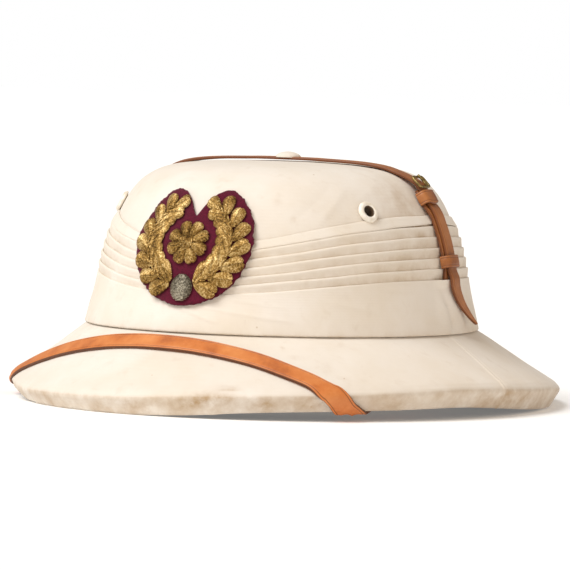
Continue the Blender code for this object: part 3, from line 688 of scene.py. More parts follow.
sections = []
soil_and_shade_rows = []
for angle in angles:
    top = fold_height(angle, 0) + 0.25 * MM * waves((5 * math.sin(angle), 5 * math.cos(angle), 0), 1.0, 31)
    foot = CROWN_BASE
    tall = top - foot
    # Third column: painted shade, under the top fold, growing towards the foot and darkest in the gap where
    # the band turns in above the brim.
    rows = [(top - 4 * MM, 0.75, 0.5), (top - 1.2 * MM, 0.95, 0.4), (top - 0.25 * MM, 1.2, 0.1),
            (top + 0.02 * MM, 1.5, 0.0), (top - 0.35 * MM, 1.8, 0.0), (top - 1.4 * MM, BAND_LOW / MM, 0.03)]
    for step in range(1, 14):
        share = step / 14
        rows.append((top - 1.4 * MM - (tall - 3 * MM) * share, BAND_LOW / MM, 0.04 + 0.12 * share ** 4))
    rows += [(foot + 1.2 * MM, 1.75, 0.25), (foot + 0.4 * MM, 1.65, 0.5), (foot + 0.2 * MM, 1.25, 0.8),
             (foot + 0.5 * MM, 0.8, 0.8)]
    section = []
    soil_and_shade_levels = []
    for height, out, soil_and_shade in through([(height / MM, out, soil_and_shade) for height, out, soil_and_shade in rows], 2):
        level = height * MM
        point = crown_point(angle, level)
        lift = 0.28 * waves(point, 24 * MM, 33) + 0.08 * waves(point, 8 * MM, 35)
        if out > 1.0:
            for start, end, width, rise in BAND_CREASES:
                lift += rise * ridge(angle, level, start, end, width)
        bulge = band_bulge(angle, clamp((level - foot) / tall))
        section.append(crown_point(angle, level, (out + lift) * MM + bulge))
        soil_and_shade_levels.append(soil_and_shade)
    sections.append(section)
    soil_and_shade_rows.append(soil_and_shade_levels)
mesh = skin("lower_band_cloth", sections, closed=True, wrap=False)
mark(mesh, "soil_and_shade", soil_and_shade_rows)
band = place_piece("lower_band_cloth", mesh, band_cloth, ["lower_band"])
band_area = thicken(band, 0.9 * CLOTH_THICK)

# Chin strap: a band of tan bridle leather with a creased line near each edge. It lies over the
# brim's front, bends round the rim and runs on underneath to a brass stud at each ear.
CHIN_STRAP_WIDTH = 11.5 * MM
CHIN_STRAP_THICK = 1.9 * MM
WALL_CLIMB = 16 * MM
STUD_FROM_END = 6 * MM
# Degrees, station on the brim's section: 0 crown, 1 crease, 2 rim, 3 and 4 foot, 5 hollow, 6 head
# opening, 7 inside wall
CHIN_ROUTE = (
    (-86, 7.00),
    (-86, 6.20),
    (-84, 5.90),
    (-78, 5.40),
    (-71, 4.70),
    (-66.5, 3.30),
    (-64, 2.30),
    (-61, 1.50),
    (-56.5, 0.95),
    (-49, 0.70),
    (-38, 0.45),
    (-26, 0.30),
    (-18, 0.24),
    (-9, 0.21),
    (0, 0.22),
    (8, 0.265),
    (17, 0.37),
    (25, 0.52),
    (32, 0.74),
    (35.6, 0.88),
    (37.8, 1.00),
    (39.0, 1.50),
    (40.3, 2.10),
    (42.0, 2.60),
    (43.8, 3.10),
    (45.0, 3.60),
    (47.5, 4.70),
    (56, 5.25),
    (66, 5.60),
    (75, 5.88),
    (79, 6.20),
    (79, 7.00),
)
# Station, how far the strap's underside lies off the brim there in mm
BED_LIFTS = ((1.0, 0.4), (1.9, 0.5), (3.0, 0.6), (5.0, 0.4), (5.6, 1.6), (7.0, 1.9), (8.0, 0.9))
TURN_STEP = 0.004
ALONG_STEP = 0.4 * MM
SMOOTHING_SWEEPS = 9
# Across a strap: mm in from its edge, share of its thickness. The dip is the creased line
STRAP_EDGE = ((0.0, 0.12), (0.0, 0.62), (0.25, 0.88), (0.6, 0.98), (1.0, 1.0), (1.3, 0.86), (1.6, 1.0),
              (2.4, 1.0))


def leather(name, light, middle, dark, cut):
    """Bridle leather: a little glossy, with fine grain, a dark cut edge, a dark creased line and a painted
    highlight along each rounded edge.
    """
    material, tree, shader = new_material(name, 0.42)
    place = add(tree, "ShaderNodeTexCoord").outputs["Object"]
    clouds = add(tree, "ShaderNodeTexNoise",
                 {"Vector": place, "Scale": 1 / (16 * MM), "Detail": 5.0, "Roughness": 0.62}).outputs["Fac"]
    colour = add(tree, "ShaderNodeValToRGB", {0: clouds},
                 ((0.28, dark), (0.48, middle), (0.72, light))).outputs["Color"]
    scuffs = add(tree, "ShaderNodeTexNoise",
                 {"Vector": place, "Scale": 1 / (2.2 * MM), "Detail": 4.0, "Roughness": 0.7}).outputs["Fac"]
    worn = add(tree, "ShaderNodeValToRGB", {0: scuffs},
               ((0.35, "#000000"), (0.80, "#ffffff"))).outputs["Color"]
    edge = add(tree, "ShaderNodeAttribute", attribute_name="edge").outputs["Fac"]
    away = add(tree, "ShaderNodeMath", {0: edge, 1: 4.0}, operation="DIVIDE").outputs[0]
    line = add(tree, "ShaderNodeValToRGB", {0: away},
               ((0.03, "#ffffff"), (0.10, "#303030"), (0.17, "#000000"), (0.27, "#000000"),
                (0.325, "#ffffff"), (0.39, "#000000"))).outputs["Color"]
    # Painted highlight: a lighter band just inside each rounded edge, before the creased line.
    painted_edge_highlight = add(tree, "ShaderNodeValToRGB", {0: away},
                ((0.12, "#000000"), (0.20, "#ffffff"), (0.27, "#000000"))).outputs["Color"]
    colour = overlay(tree, colour, ((worn, 0.35, light), (line, 0.9, cut), (painted_edge_highlight, 0.2, light)))
    tree.links.new(colour, shader.inputs["Base Color"])
    polish = add(tree, "ShaderNodeMapRange", {"Value": scuffs, "To Min": 0.34, "To Max": 0.58})
    tree.links.new(polish.outputs["Result"], shader.inputs["Roughness"])
    shader.inputs["Specular IOR Level"].default_value = 0.42
    grain = add(tree, "ShaderNodeTexVoronoi", {"Vector": place, "Scale": 1 / (0.55 * MM)}).outputs["Distance"]
    pores = add(tree, "ShaderNodeMath", {0: grain, 1: 0.6}, operation="MULTIPLY").outputs[0]
    height = add(tree, "ShaderNodeMath", {0: pores, 1: scuffs}, operation="ADD").outputs[0]
    bump = add(tree, "ShaderNodeBump", {"Strength": 0.6, "Distance": 0.06 * MM, "Height": height})
    tree.links.new(bump.outputs["Normal"], shader.inputs["Normal"])
    return material


def strap_outline(width, thick):
    """Section of a strap, over its face and back under it: rows of across, up and mm from its edge."""
    half = width / 2
    scale = min(1.0, half / (3 * MM))
    left = [(-half + inset * scale * MM, thick * high, inset) for inset, high in STRAP_EDGE]
    right = [(-across, up, inset) for across, up, inset in reversed(left)]
    low = half - 0.2 * scale * MM
    return left + [(0.0, 1.02 * thick, 3.5)] + right + [(low, 0.0, 0.15), (0.0, 0.0, 3.5), (-low, 0.0, 0.15)]


def strap_piece(name, sections, marks, material, node):
    """Strap skinned through its sections, marked with each point's distance from the edge."""
    mesh = skin(name, sections)
    mark(mesh, "edge", marks)
    return place_piece(name, mesh, material, [node], 50)


tan_leather = leather("bridle_leather_tan", "#de8f50", "#cc7537", "#a95726", "#43200c")


def strap_bed(angle):
    """What the chin strap lies on at an angle: rows of distance from the crown, point and lift."""
    cover = [row for row in brim_line(angle) if 1.0 <= row[0] <= 7.0]
    cover.append((8.0, crown_point(angle, CROWN_BASE + WALL_CLIMB, -CROWN_WALL)))
    bed = []
    along = 0.0
    for place, (station, point) in enumerate(cover):
        if place:
            along += (point - cover[place - 1][1]).length
        bed.append((along, station, point, between(BED_LIFTS, station) * MM))
    return bed


def bed_point(angle, along, out):
    """Point over the bed at a distance from the crown, lifted off it."""
    bed = strap_bed(angle)
    side_way = brim_point(angle + 0.01, 0, 0) - brim_point(angle - 0.01, 0, 0)
    place = 1
    while place < len(bed) - 1 and bed[place][0] < along:
        place += 1
    low, high = bed[place - 1], bed[place]
    share = min(1.0, max(-2.0, (along - low[0]) / max(high[0] - low[0], 0.01 * MM)))
    before = bed[max(place - 3, 0)]
    after = bed[min(place + 2, len(bed) - 1)]
    normal = (after[2] - before[2]).cross(side_way).normalized()
    lift = low[3] + (high[3] - low[3]) * share
    return low[2].lerp(high[2], share) + normal * (lift + out)


rows = []
for degrees, station in CHIN_ROUTE:
    bed = strap_bed(math.radians(degrees))
    rows.append((math.radians(degrees), between([(row[1], row[0]) for row in bed], station + 1)))
route = through(rows, 8)
sections = []
marks = []
for place, (angle, along) in enumerate(route):
    ahead = route[min(place + 1, len(route) - 1)] - route[max(place - 1, 0)]
    by_angle = bed_point(angle + TURN_STEP, along, 0) - bed_point(angle - TURN_STEP, along, 0)
    by_angle /= 2 * TURN_STEP
    by_step = bed_point(angle, along + ALONG_STEP, 0) - bed_point(angle, along - ALONG_STEP, 0)
    by_step /= 2 * ALONG_STEP
    both = by_angle.dot(by_step)
    cross_angle = -(both * ahead[0] + by_step.dot(by_step) * ahead[1])
    cross_step = by_angle.dot(by_angle) * ahead[0] + both * ahead[1]
    unit = (by_angle * cross_angle + by_step * cross_step).length
    outline = strap_outline(CHIN_STRAP_WIDTH, CHIN_STRAP_THICK)
    sections.append([bed_point(angle + cross_angle * across / unit, along + cross_step * across / unit, up)
                     for across, up, inset in outline])
    marks.append([inset for across, up, inset in outline])
for sweep in range(SMOOTHING_SWEEPS):
    smoothed = [sections[0]]
    for before, here, after in zip(sections, sections[1:], sections[2:]):
        smoothed.append([(a + 2 * b + c) / 4 for a, b, c in zip(before, here, after)])
    sections = smoothed + [sections[-1]]
for section in sections:
    for point in section:
        point.z = max(point.z, 0.0)
strap_piece("chin_strap_leather", sections, marks, tan_leather, "chin_strap")

# Studs: small domed brass studs that hold the chin strap's two ends inside the crown. Each was
# turned, pushed through the leather and the cork, and riveted over. Age has dulled the brass.
def brass(name, light, dark, rough):
    """Old brass: dull, darker where it is tarnished, a little brighter where it is rubbed."""
    material, tree, shader = new_material(name, rough)
    shader.inputs["Metallic"].default_value = 1.0
    place = add(tree, "ShaderNodeTexCoord").outputs["Object"]
    tarnish = add(tree, "ShaderNodeTexNoise",
                  {"Vector": place, "Scale": 1 / (2.5 * MM), "Detail": 5.0, "Roughness": 0.65}).outputs["Fac"]
    colour = add(tree, "ShaderNodeValToRGB", {0: tarnish}, ((0.35, dark), (0.62, light)))
    tree.links.new(colour.outputs["Color"], shader.inputs["Base Color"])
    wear = add(tree, "ShaderNodeMapRange", {"Value": tarnish, "To Min": rough - 0.12, "To Max": rough + 0.2})
    tree.links.new(wear.outputs["Result"], shader.inputs["Roughness"])
    bump = add(tree, "ShaderNodeBump", {"Strength": 0.4, "Distance": 0.04 * MM, "Height": tarnish})
    tree.links.new(bump.outputs["Normal"], shader.inputs["Normal"])
    return material


old_brass = brass("brass_tarnished", "#b59c66", "#5f5230", 0.38)


def pick(piece):
    """Select one piece alone and make it active."""
    bpy.ops.object.select_all(action="DESELECT")
    piece.select_set(True)
    bpy.context.view_layer.objects.active = piece


def settle(piece, seat, normal, sideways=None):
    """Stand a finished piece on its seat, Z along the normal, and apply its place to its mesh."""
    axis = normal.normalized()
    across = sideways if sideways else axis.orthogonal()
    across = (across - axis * across.dot(axis)).normalized()
    turn = Matrix((across, axis.cross(across), axis)).transposed()
    piece.matrix_world = Matrix.Translation(seat) @ turn.to_4x4()
    pick(piece)
    bpy.ops.object.transform_apply(location=True, rotation=True, scale=True)


def spun(name, profile, steps=48):
    """Piece spun about Z from a profile of radius and height in mm."""
    mesh = bpy.data.meshes.new(name)
    mesh.from_pydata([(radius * MM, 0, height * MM) for radius, height in profile],
                     [(place, place + 1) for place in range(len(profile) - 1)], [])
    piece = bpy.data.objects.new(name, mesh)
    bpy.context.scene.collection.objects.link(piece)
    pick(piece)
    bpy.ops.object.mode_set(mode="EDIT")
    bpy.ops.mesh.select_all(action="SELECT")
    bpy.ops.mesh.spin(steps=steps, angle=2 * math.pi, center=(0, 0, 0), axis=(0, 0, 1))
    bpy.ops.mesh.select_all(action="SELECT")
    bpy.ops.mesh.remove_doubles(threshold=0.01 * MM)
    bpy.ops.mesh.normals_make_consistent(inside=False)
    bpy.ops.object.mode_set(mode="OBJECT")
    return piece


stud_profile = ((0, 2.0), (0.9, 1.95), (1.8, 1.8), (2.7, 1.5), (3.5, 1.1), (4.2, 0.6), (4.5, 0.2),
                (4.4, 0), (0, 0))
for name, (angle, along) in (("strap_stud_right", route[0]), ("strap_stud_left", route[-1])):
    seat = bed_point(angle, along - STUD_FROM_END, CHIN_STRAP_THICK)
    up = bed_point(angle, along, 0) - bed_point(angle, along - STUD_FROM_END, 0)
    round_way = (crown_point(angle + 0.01, CROWN_BASE) - crown_point(angle - 0.01, CROWN_BASE)).normalized()
    stud = spun(name + "_domed", stud_profile, 32)
    settle(stud, seat, up.cross(round_way))
    dress(stud, old_brass, [name], 50)

# Strap over the crown: brown bridle leather from ear to ear. Its ends are tucked behind the lower
# band, but at the wearer's left it passes through a buckle and hangs on in a tail that curls back.
STRAP_WIDTH = 10 * MM
STRAP_THICK = 1.6 * MM
TUCK_FOOT = 57.3 * MM
TAIL_TIP = 44.8 * MM
TAIL_SWING = 20 * MM
TUCK_DEPTH = 4.5 * MM
TAIL_START = 4 * MM
STACK_RAMP = 7 * MM
BUCKLE_HEIGHT = CROWN_TOP - 12 * MM
LOOP_HEIGHT = BUCKLE_HEIGHT - 6.4 * MM
STRAP_GAP = 0.3 * MM
# Share of the way from the band's top edge to the tip, share of the swing, share of the width
TAIL_ROWS = ((0.00, 0.00, 0.98), (0.18, 0.02, 0.94), (0.38, 0.12, 0.82), (0.60, 0.33, 0.60),
             (0.80, 0.62, 0.37), (0.93, 0.85, 0.20), (1.00, 1.00, 0.09))
brown_leather = leather("bridle_leather_brown", "#b87846", "#9d5f2f", "#7a421e", "#6e3c1c")


def strap_lift(height):
    """Lift of a strap off the crown, from where it is tucked in to the bare crown."""
    pleat = (PLEAT_TOP - BAND_TOP) / PLEATS
    rows = ((BAND_TOP - TUCK_DEPTH, 0.4), (BAND_TOP, 1.7), (BAND_TOP + pleat, 2.5), (PLEAT_TOP, 2.5),
            (PLEAT_TOP + 0.9 * pleat, 0.9), (CROWN_TOP - 8 * MM, 0.75))
    return between(rows, height) * MM


def strap_levels(low, high):
    """Heights along a strap: even up the wall, then by the crown's own rings over the shoulder."""
    shoulder = CROWN_BASE + 0.8 * CROWN_RISE
    steps = int((min(high, shoulder) - low) / (3.4 * MM))
    levels = [low + (min(high, shoulder) - low) * step / steps for step in range(steps + 1)]
    levels += [CROWN_BASE + CROWN_RISE * rise for rise, share in crown_curve[::4]
               if shoulder + 1 * MM < CROWN_BASE + CROWN_RISE * rise < high - 0.2 * MM]
    if high > shoulder:
        levels.append(high)
    return levels


def leather_strap(name, rows, node):
    """Strap in the upright plane of the ears, from rows of side, height, lift, swing and width."""
    spine = []
    for side, height, lift, swing, width in rows:
        face = crown_point(side * EAR, height)
        normal = crown_normal(side * EAR, min(height, CROWN_TOP - 0.4 * MM))
        spine.append((*(face + normal * lift + Vector((0, swing, 0))), width))
    spine = through(spine, 5)
    sections = []
    marks = []
    for place, here in enumerate(spine):
        ahead = Vector((spine[min(place + 1, len(spine) - 1)] - spine[max(place - 1, 0)])[:3])
        normal = ahead.cross(Vector((0, 1, 0))).normalized()
        side_way = normal.cross(ahead).normalized()
        outline = strap_outline(max(here[3], 0.9 * MM), STRAP_THICK)
        sections.append([Vector(here[:3]) + side_way * across + normal * up for across, up, inset in outline])
        marks.append([inset for across, up, inset in outline])
    return strap_piece(name, sections, marks, brown_leather, node)


rows = [(-1, height, strap_lift(height), 0, STRAP_WIDTH) for height in strap_levels(TUCK_FOOT, CROWN_TOP)]
stack = STRAP_THICK + STRAP_GAP
for height in reversed(strap_levels(BAND_TOP + TAIL_START, CROWN_TOP)):
    over = clamp((BUCKLE_HEIGHT + STACK_RAMP - height) / STACK_RAMP)
    rows.append((1, height, strap_lift(height) + stack * over, 0.8 * MM * over, STRAP_WIDTH))
over_band = band_bulge(EAR, 1.0) + BAND_LOW + 0.6 * MM
for down, swing, width in TAIL_ROWS:
    height = BAND_TOP + (TAIL_TIP - BAND_TOP) * down
    lift = over_band - STRAP_THICK / 2 * down
    rows.append((1, height, lift, 0.8 * MM + swing * TAIL_SWING, width * STRAP_WIDTH))
leather_strap("crown_strap_leather", rows, "crown_strap")

# Under strap: the short end of the same brown leather that holds the buckle. It is folded round
# the buckle's bar, sewn down and tucked behind the lower band.
rows = []
for height in reversed(strap_levels(TUCK_FOOT, BUCKLE_HEIGHT - 2 * MM)):
    aside = -0.9 * MM if PLEAT_TOP < height < BUCKLE_HEIGHT - 4 * MM else 0.0
    rows.append((1, height, strap_lift(height), aside, STRAP_WIDTH))
leather_strap("buckle_strap_leather", rows, "buckle_strap")

# Loop and keeper: narrow pieces of the same leather, folded across both straps and sewn behind.
# The loop stands just below the buckle and bellies downwards, and the keeper grips the tail.
KEEPER_HEIGHT = 78.3 * MM
KEEPER_THICK = 1.3 * MM


def ear_seat(height, lift):
    """Place and outward direction on the straps at the wearer's left ear."""
    normal = crown_normal(EAR, height)
    return crown_point(EAR, height) + normal * lift, normal


def leather_loop(name, height, length, belly, node):
    """Leather folded over the straps: its path across them, skinned with a strap's section."""
    seat, normal = ear_seat(height, strap_lift(height))
    down = Vector((0, 1, 0)).cross(normal).normalized()
    half = STRAP_WIDTH / 2 + 0.9 * MM
    roof = 2 * STRAP_THICK + 3 * STRAP_GAP
    bend = 1.5 * MM
    path = [(-half, 0.0), (-half, roof - bend)]
    path += [(-half + bend * (1 - math.cos(turn)), roof - bend + bend * math.sin(turn))
             for turn in (math.pi / 8, math.pi / 4, 3 * math.pi / 8)]
    path += [(-half + bend + (2 * half - 2 * bend) * share, roof + 0.25 * MM * math.sin(math.pi * share))
             for share in (step / 10 for step in range(11))]
    path += [(-across, up) for across, up in reversed(path[:5])]
    sections = []
    marks = []
    for place, (across, up) in enumerate(path):
        before = path[max(place - 1, 0)]
        after = path[min(place + 1, len(path) - 1)]
        way = (Vector((0, 1, 0)) * (after[0] - before[0]) + normal * (after[1] - before[1])).normalized()
        out = way.cross(down).normalized()
        if out.dot(normal) < -0.01 or (abs(out.dot(normal)) < 0.01 and out.y * across < 0):
            out = -out
        here = seat + Vector((0, 1, 0)) * across + normal * up
        bulge = belly * math.cos(math.pi / 2 * across / half)
        outline = strap_outline(length, KEEPER_THICK)
        sections.append([here + down * (along + bulge * max(0.0, along / length + 0.1)) + out * thick
                         for along, thick, inset in outline])
        marks.append([inset for along, thick, inset in outline])
    return strap_piece(name, sections, marks, brown_leather, node)


leather_loop("strap_loop_leather", LOOP_HEIGHT, 7.4 * MM, 2.2 * MM, "strap_loop")
leather_loop("strap_keeper_leather", KEEPER_HEIGHT, 6.7 * MM, 0.0, "strap_keeper")

# Buckle: a small rectangle of brass wire, bent with rounded corners and brazed, and a prong of
# thinner wire that lies over the strap.
BUCKLE_LENGTH = 8.6 * MM
BUCKLE_WIRE = 1.5 * MM
buckle_lift = strap_lift(BUCKLE_HEIGHT) + 2 * STRAP_THICK + 2 * STRAP_GAP
seat, normal = ear_seat(BUCKLE_HEIGHT, buckle_lift)
bpy.ops.object.select_all(action="DESELECT")
bpy.ops.mesh.primitive_plane_add(size=1)
wire = bpy.context.object
wire.name = "strap_buckle_wire"
wire.scale = (STRAP_WIDTH + 2.3 * MM, BUCKLE_LENGTH - BUCKLE_WIRE, 1)
bpy.ops.object.transform_apply(location=False, rotation=False, scale=True)
bpy.ops.object.mode_set(mode="EDIT")
bpy.ops.mesh.select_all(action="SELECT")
bpy.ops.mesh.bevel(offset=1.6 * MM, segments=5, affect="VERTICES")
bpy.ops.mesh.delete(type="ONLY_FACE")
bpy.ops.object.mode_set(mode="OBJECT")
bpy.ops.object.convert(target="CURVE")
wire.data.bevel_depth = BUCKLE_WIRE / 2
wire.data.bevel_resolution = 4
bpy.ops.object.convert(target="MESH")
settle(wire, seat + normal * BUCKLE_WIRE / 2, normal, Vector((0, 1, 0)))
dress(wire, old_brass, ["strap_buckle"])

prong = spun("buckle_prong_wire", ((0, 4.1), (0.35, 4.05), (0.55, 3.6), (0.6, 2.0), (0.62, -2.0), (0.7, -3.4),
                                   (0.5, -4.0), (0, -4.1)), 16)
settle(prong, seat + normal * (BUCKLE_WIRE + 0.45 * MM), Vector((0, 1, 0)).cross(normal), Vector((0, 1, 0)))
dress(prong, old_brass, ["buckle_prong"])

# Button on the top: a turned wooden button covered with drill, gathered underneath, that holds the
# straps down where they cross the crown.
BUTTON_RADIUS = 6.8 * MM
BUTTON_HEIGHT = 2.9 * MM
bpy.ops.object.select_all(action="DESELECT")
bpy.ops.mesh.primitive_uv_sphere_add(segments=48, ring_count=24, radius=BUTTON_RADIUS)
button = bpy.context.object
button.name = "vent_button_covered"
bpy.ops.object.mode_set(mode="EDIT")
bpy.ops.mesh.select_all(action="SELECT")
bpy.ops.mesh.bisect(plane_co=(0, 0, -0.6 * MM), plane_no=(0, 0, -1), clear_outer=True, use_fill=True)
bpy.ops.mesh.select_all(action="SELECT")
bpy.ops.transform.resize(value=(1, 1, BUTTON_HEIGHT / BUTTON_RADIUS), center_override=(0, 0, 0))
bpy.ops.mesh.normals_make_consistent(inside=False)
bpy.ops.object.mode_set(mode="OBJECT")
for point in button.data.vertices:
    across = math.hypot(point.co.x, point.co.y) / BUTTON_RADIUS
    pull = math.cos(14 * math.atan2(point.co.y, point.co.x)) * across ** 4
    point.co *= 1 + 0.018 * pull + 0.05 * waves(point.co, 6 * MM, 41)
settle(button, Vector((0, -CROWN_FORWARD, CROWN_TOP + STRAP_THICK + 0.6 * MM)), Vector((0, 0, 1)))
dress(button, drill, ["vent_button"])

# Vent eyelets: turned brass rings, painted white with the hat, each with a sleeve through the
# cork. The paint has yellowed. Inside the hole the rings are dark brown: partly brass where the
# paint is rubbed through, partly painted shade of the hole.
def painted_brass(name):
    """Old white paint on brass: slightly glossy, yellowed, dark brown in the hole, partly rubbed-through
    brass and partly painted shade.
    """
    material, tree, shader = new_material(name, 0.38)
    place = add(tree, "ShaderNodeTexCoord").outputs["Object"]
    age = add(tree, "ShaderNodeTexNoise",
              {"Vector": place, "Scale": 1 / (3 * MM), "Detail": 4.0}).outputs["Fac"]
    paint = add(tree, "ShaderNodeValToRGB", {0: age}, ((0.35, "#f6efe4"), (0.70, "#e2d5bf"))).outputs["Color"]
    worn = add(tree, "ShaderNodeAttribute", attribute_name="worn").outputs["Fac"]
    uneven = add(tree, "ShaderNodeMath", {0: age, 1: 0.3}, operation="MULTIPLY").outputs[0]
    wear = add(tree, "ShaderNodeMath", {0: worn, 1: uneven}, operation="ADD").outputs[0]
    # Dark brown in the hole: partly brass where the paint is rubbed through, partly painted shade of the
    # hole.
    bare_and_shade_mask = add(tree, "ShaderNodeValToRGB", {0: wear}, ((0.60, "#000000"), (0.72, "#ffffff"))).outputs["Color"]
    colour = add(tree, "ShaderNodeMix", {0: bare_and_shade_mask, 6: paint, 7: "#5a4632"}, data_type="RGBA")
    tree.links.new(colour.outputs[2], shader.inputs["Base Color"])
    bump = add(tree, "ShaderNodeBump", {"Strength": 0.3, "Distance": 0.05 * MM, "Height": age})
    tree.links.new(bump.outputs["Normal"], shader.inputs["Normal"])
    return material


white_paint = painted_brass("white_paint_on_brass")
eyelet_profile = ((2.75, -3.2), (2.75, 1.2), (2.9, 2.0), (3.3, 2.5), (4.0, 2.8), (4.8, 2.75), (5.5, 2.3),
                  (5.95, 1.7), (6.0, 1.2), (5.8, 0.8), (5.0, 0.6), (4.2, 0.3), (3.7, 0.1), (3.35, -0.4),
                  (3.35, -3.2), (2.75, -3.2))
for side, node in ((1, "vent_eyelet_left"), (-1, "vent_eyelet_right")):
    ring = spun(node + "_ring", eyelet_profile, 48)
    # Marks the hole's inner wall, painted dark: partly rubbed brass, partly painted shade.
    bare_and_shaded = ring.data.attributes.new("worn", "FLOAT", "POINT")
    for place, point in enumerate(ring.data.vertices):
        reach = math.hypot(point.co.x, point.co.y) / MM
        bare_and_shaded.data[place].value = clamp((3.5 - reach) / 0.5)
    settle(ring, crown_point(side * VENT_ANGLE, VENT_HEIGHT), crown_normal(side * VENT_ANGLE, VENT_HEIGHT))
    dress(ring, white_paint, [node], 50)

# Badge backing: crimson wool felt cut by hand round the embroidery, a little frayed at its edge,
# and sewn to the front of the hat over the pleats.
BADGE_WIDTH = 63 * MM
BADGE_HEIGHT = 61 * MM
BADGE_MIDDLE = 86 * MM
BADGE_ASIDE = 1.5 * MM
FELT_THICK = 1.3 * MM
FELT_MARGIN = 1.6 * MM
FELT_FADE = 8 * MM


def badge_point(across, up, out):
    """Point over the front of the crown: distances across and up from the badge's middle."""
    height = BADGE_MIDDLE + up
    share = between(crown_curve, (height - CROWN_BASE) / CROWN_RISE)
    angle = (across - BADGE_ASIDE) / (share * CROWN_WIDTH / 2)
    over = clamp((fold_height(angle, 1) + FELT_FADE - height) / FELT_FADE)
    lift = 0.9 * MM + 2.0 * MM * over
    return crown_point(angle, height) + crown_normal(angle, height) * (lift + out)


def wool_felt(name):
    """Wool felt: matt crimson with a short fuzzy nap, painted darker in the nap's hollows as shade."""
    material, tree, shader = new_material(name, 0.95)
    place = add(tree, "ShaderNodeTexCoord").outputs["Object"]
    nap = add(tree, "ShaderNodeTexNoise",
              {"Vector": place, "Scale": 1 / (0.8 * MM), "Detail": 5.0, "Roughness": 0.75}).outputs["Fac"]
    # Painted shade: the noise that makes the nap's bumps also darkens the colour in its hollows.
    colour = add(tree, "ShaderNodeValToRGB", {0: nap}, ((0.30, "#360817"), (0.70, "#6d1130")))
    tree.links.new(colour.outputs["Color"], shader.inputs["Base Color"])
    shader.inputs["Sheen Weight"].default_value = 0.2
    shader.inputs["Specular IOR Level"].default_value = 0.15
    bump = add(tree, "ShaderNodeBump", {"Strength": 0.9, "Distance": 0.2 * MM, "Height": nap})
    tree.links.new(bump.outputs["Normal"], shader.inputs["Normal"])
    return material


felt_columns = 200
half_width = BADGE_WIDTH / 2 + FELT_MARGIN
half_height = BADGE_HEIGHT / 2 + FELT_MARGIN
outline = []
for step in range(felt_columns):
    turn = 2 * math.pi * step / felt_columns
    notch = max(0.0, math.cos(turn - math.pi / 2)) ** 24
    ragged = 0.020 * waves((9 * math.cos(turn), 9 * math.sin(turn), 0), 1.0, 51)
    ragged += 0.020 * waves((40 * math.cos(turn), 40 * math.sin(turn), 0), 1.0, 53)
    reach = 1.0 - 0.55 * notch + ragged
    outline.append((half_width * math.cos(turn) * reach, half_height * math.sin(turn) * reach))
rings = [(share, 0.0) for share in (0.02, 0.2, 0.4, 0.6, 0.8, 0.97)]
rings += [(1.0, 0.25), (1.0, 0.7), (0.985, 0.95)]
rings += [(share, 1.0) for share in (0.95, 0.8, 0.6, 0.4, 0.2, 0.02)]
sections = [[badge_point(across * share, up * share, FELT_THICK * level) for across, up in outline]
            for share, level in rings]
place_piece("badge_felt_backing", skin("badge_felt_backing", sections), wool_felt("wool_felt_crimson"),
            ["badge_felt"], 60)

# Leaf sprays: two branches of leaves in gold bullion, fine coiled wire that was cut in lengths and
# sewn down slantwise over padding, on both sides of a twisted stem.
SPRAY_WIDTH = 18 * MM
TIE_WIDTH = 12 * MM
TIE_HEIGHT = 15 * MM
STEM_ACROSS = (BADGE_WIDTH - SPRAY_WIDTH) / 2
STEM_UP = (BADGE_HEIGHT - SPRAY_WIDTH) / 2
STEM_START = math.asin((TIE_WIDTH / 2 + 0.5 * MM) / STEM_ACROSS)
STEM_END = math.radians(151)
LEAVES = 7
LEAF_LENGTH = 14.6 * MM
LEAF_WIDTH = 8.6 * MM
LEAF_HEIGHT = 1.6 * MM
LEAF_LEAN = math.radians(39)
BULLION = 0.42 * MM
THREAD_SIDES = 6


def bullion(name, dark, middle, light, metal):
    """Coiled wire, dulled with age: bright where a coil faces the light and dark between."""
    material, tree, shader = new_material(name, 0.42)
    shader.inputs["Metallic"].default_value = metal
    place = add(tree, "ShaderNodeTexCoord").outputs["Object"]
    coil = add(tree, "ShaderNodeTexNoise",
               {"Vector": place, "Scale": 1 / (0.9 * MM), "Detail": 3.0, "Roughness": 0.7}).outputs["Fac"]
    cloud = add(tree, "ShaderNodeTexNoise",
                {"Vector": place, "Scale": 1 / (9 * MM), "Detail": 2.0}).outputs["Fac"]
    fine = add(tree, "ShaderNodeMath", {0: coil, 1: 0.65}, operation="MULTIPLY").outputs[0]
    broad = add(tree, "ShaderNodeMath", {0: cloud, 1: 0.35}, operation="MULTIPLY").outputs[0]
    level = add(tree, "ShaderNodeMath", {0: fine, 1: broad}, operation="ADD").outputs[0]
    colour = add(tree, "ShaderNodeValToRGB", {0: level}, ((0.38, dark), (0.50, middle), (0.64, light)))
    tree.links.new(colour.outputs["Color"], shader.inputs["Base Color"])
    turns = add(tree, "ShaderNodeTexWave",
                {"Vector": place, "Scale": 1 / (0.5 * MM * math.tau), "Distortion": 3.0},
                bands_direction="DIAGONAL").outputs["Fac"]
    bump = add(tree, "ShaderNodeBump", {"Strength": 0.7, "Distance": 0.08 * MM, "Height": turns})
    tree.links.new(bump.outputs["Normal"], shader.inputs["Normal"])
    return material


# Gilt and silvered bullion: turns about 0.2 mm apart, drawn at 0.5 mm so that they show
gold_bullion = bullion("bullion_gilt", "#4f3814", "#a47e3c", "#f0d699", 0.7)
silver_bullion = bullion("bullion_silvered", "#2f2b23", "#736b5a", "#b9b09c", 0.75)


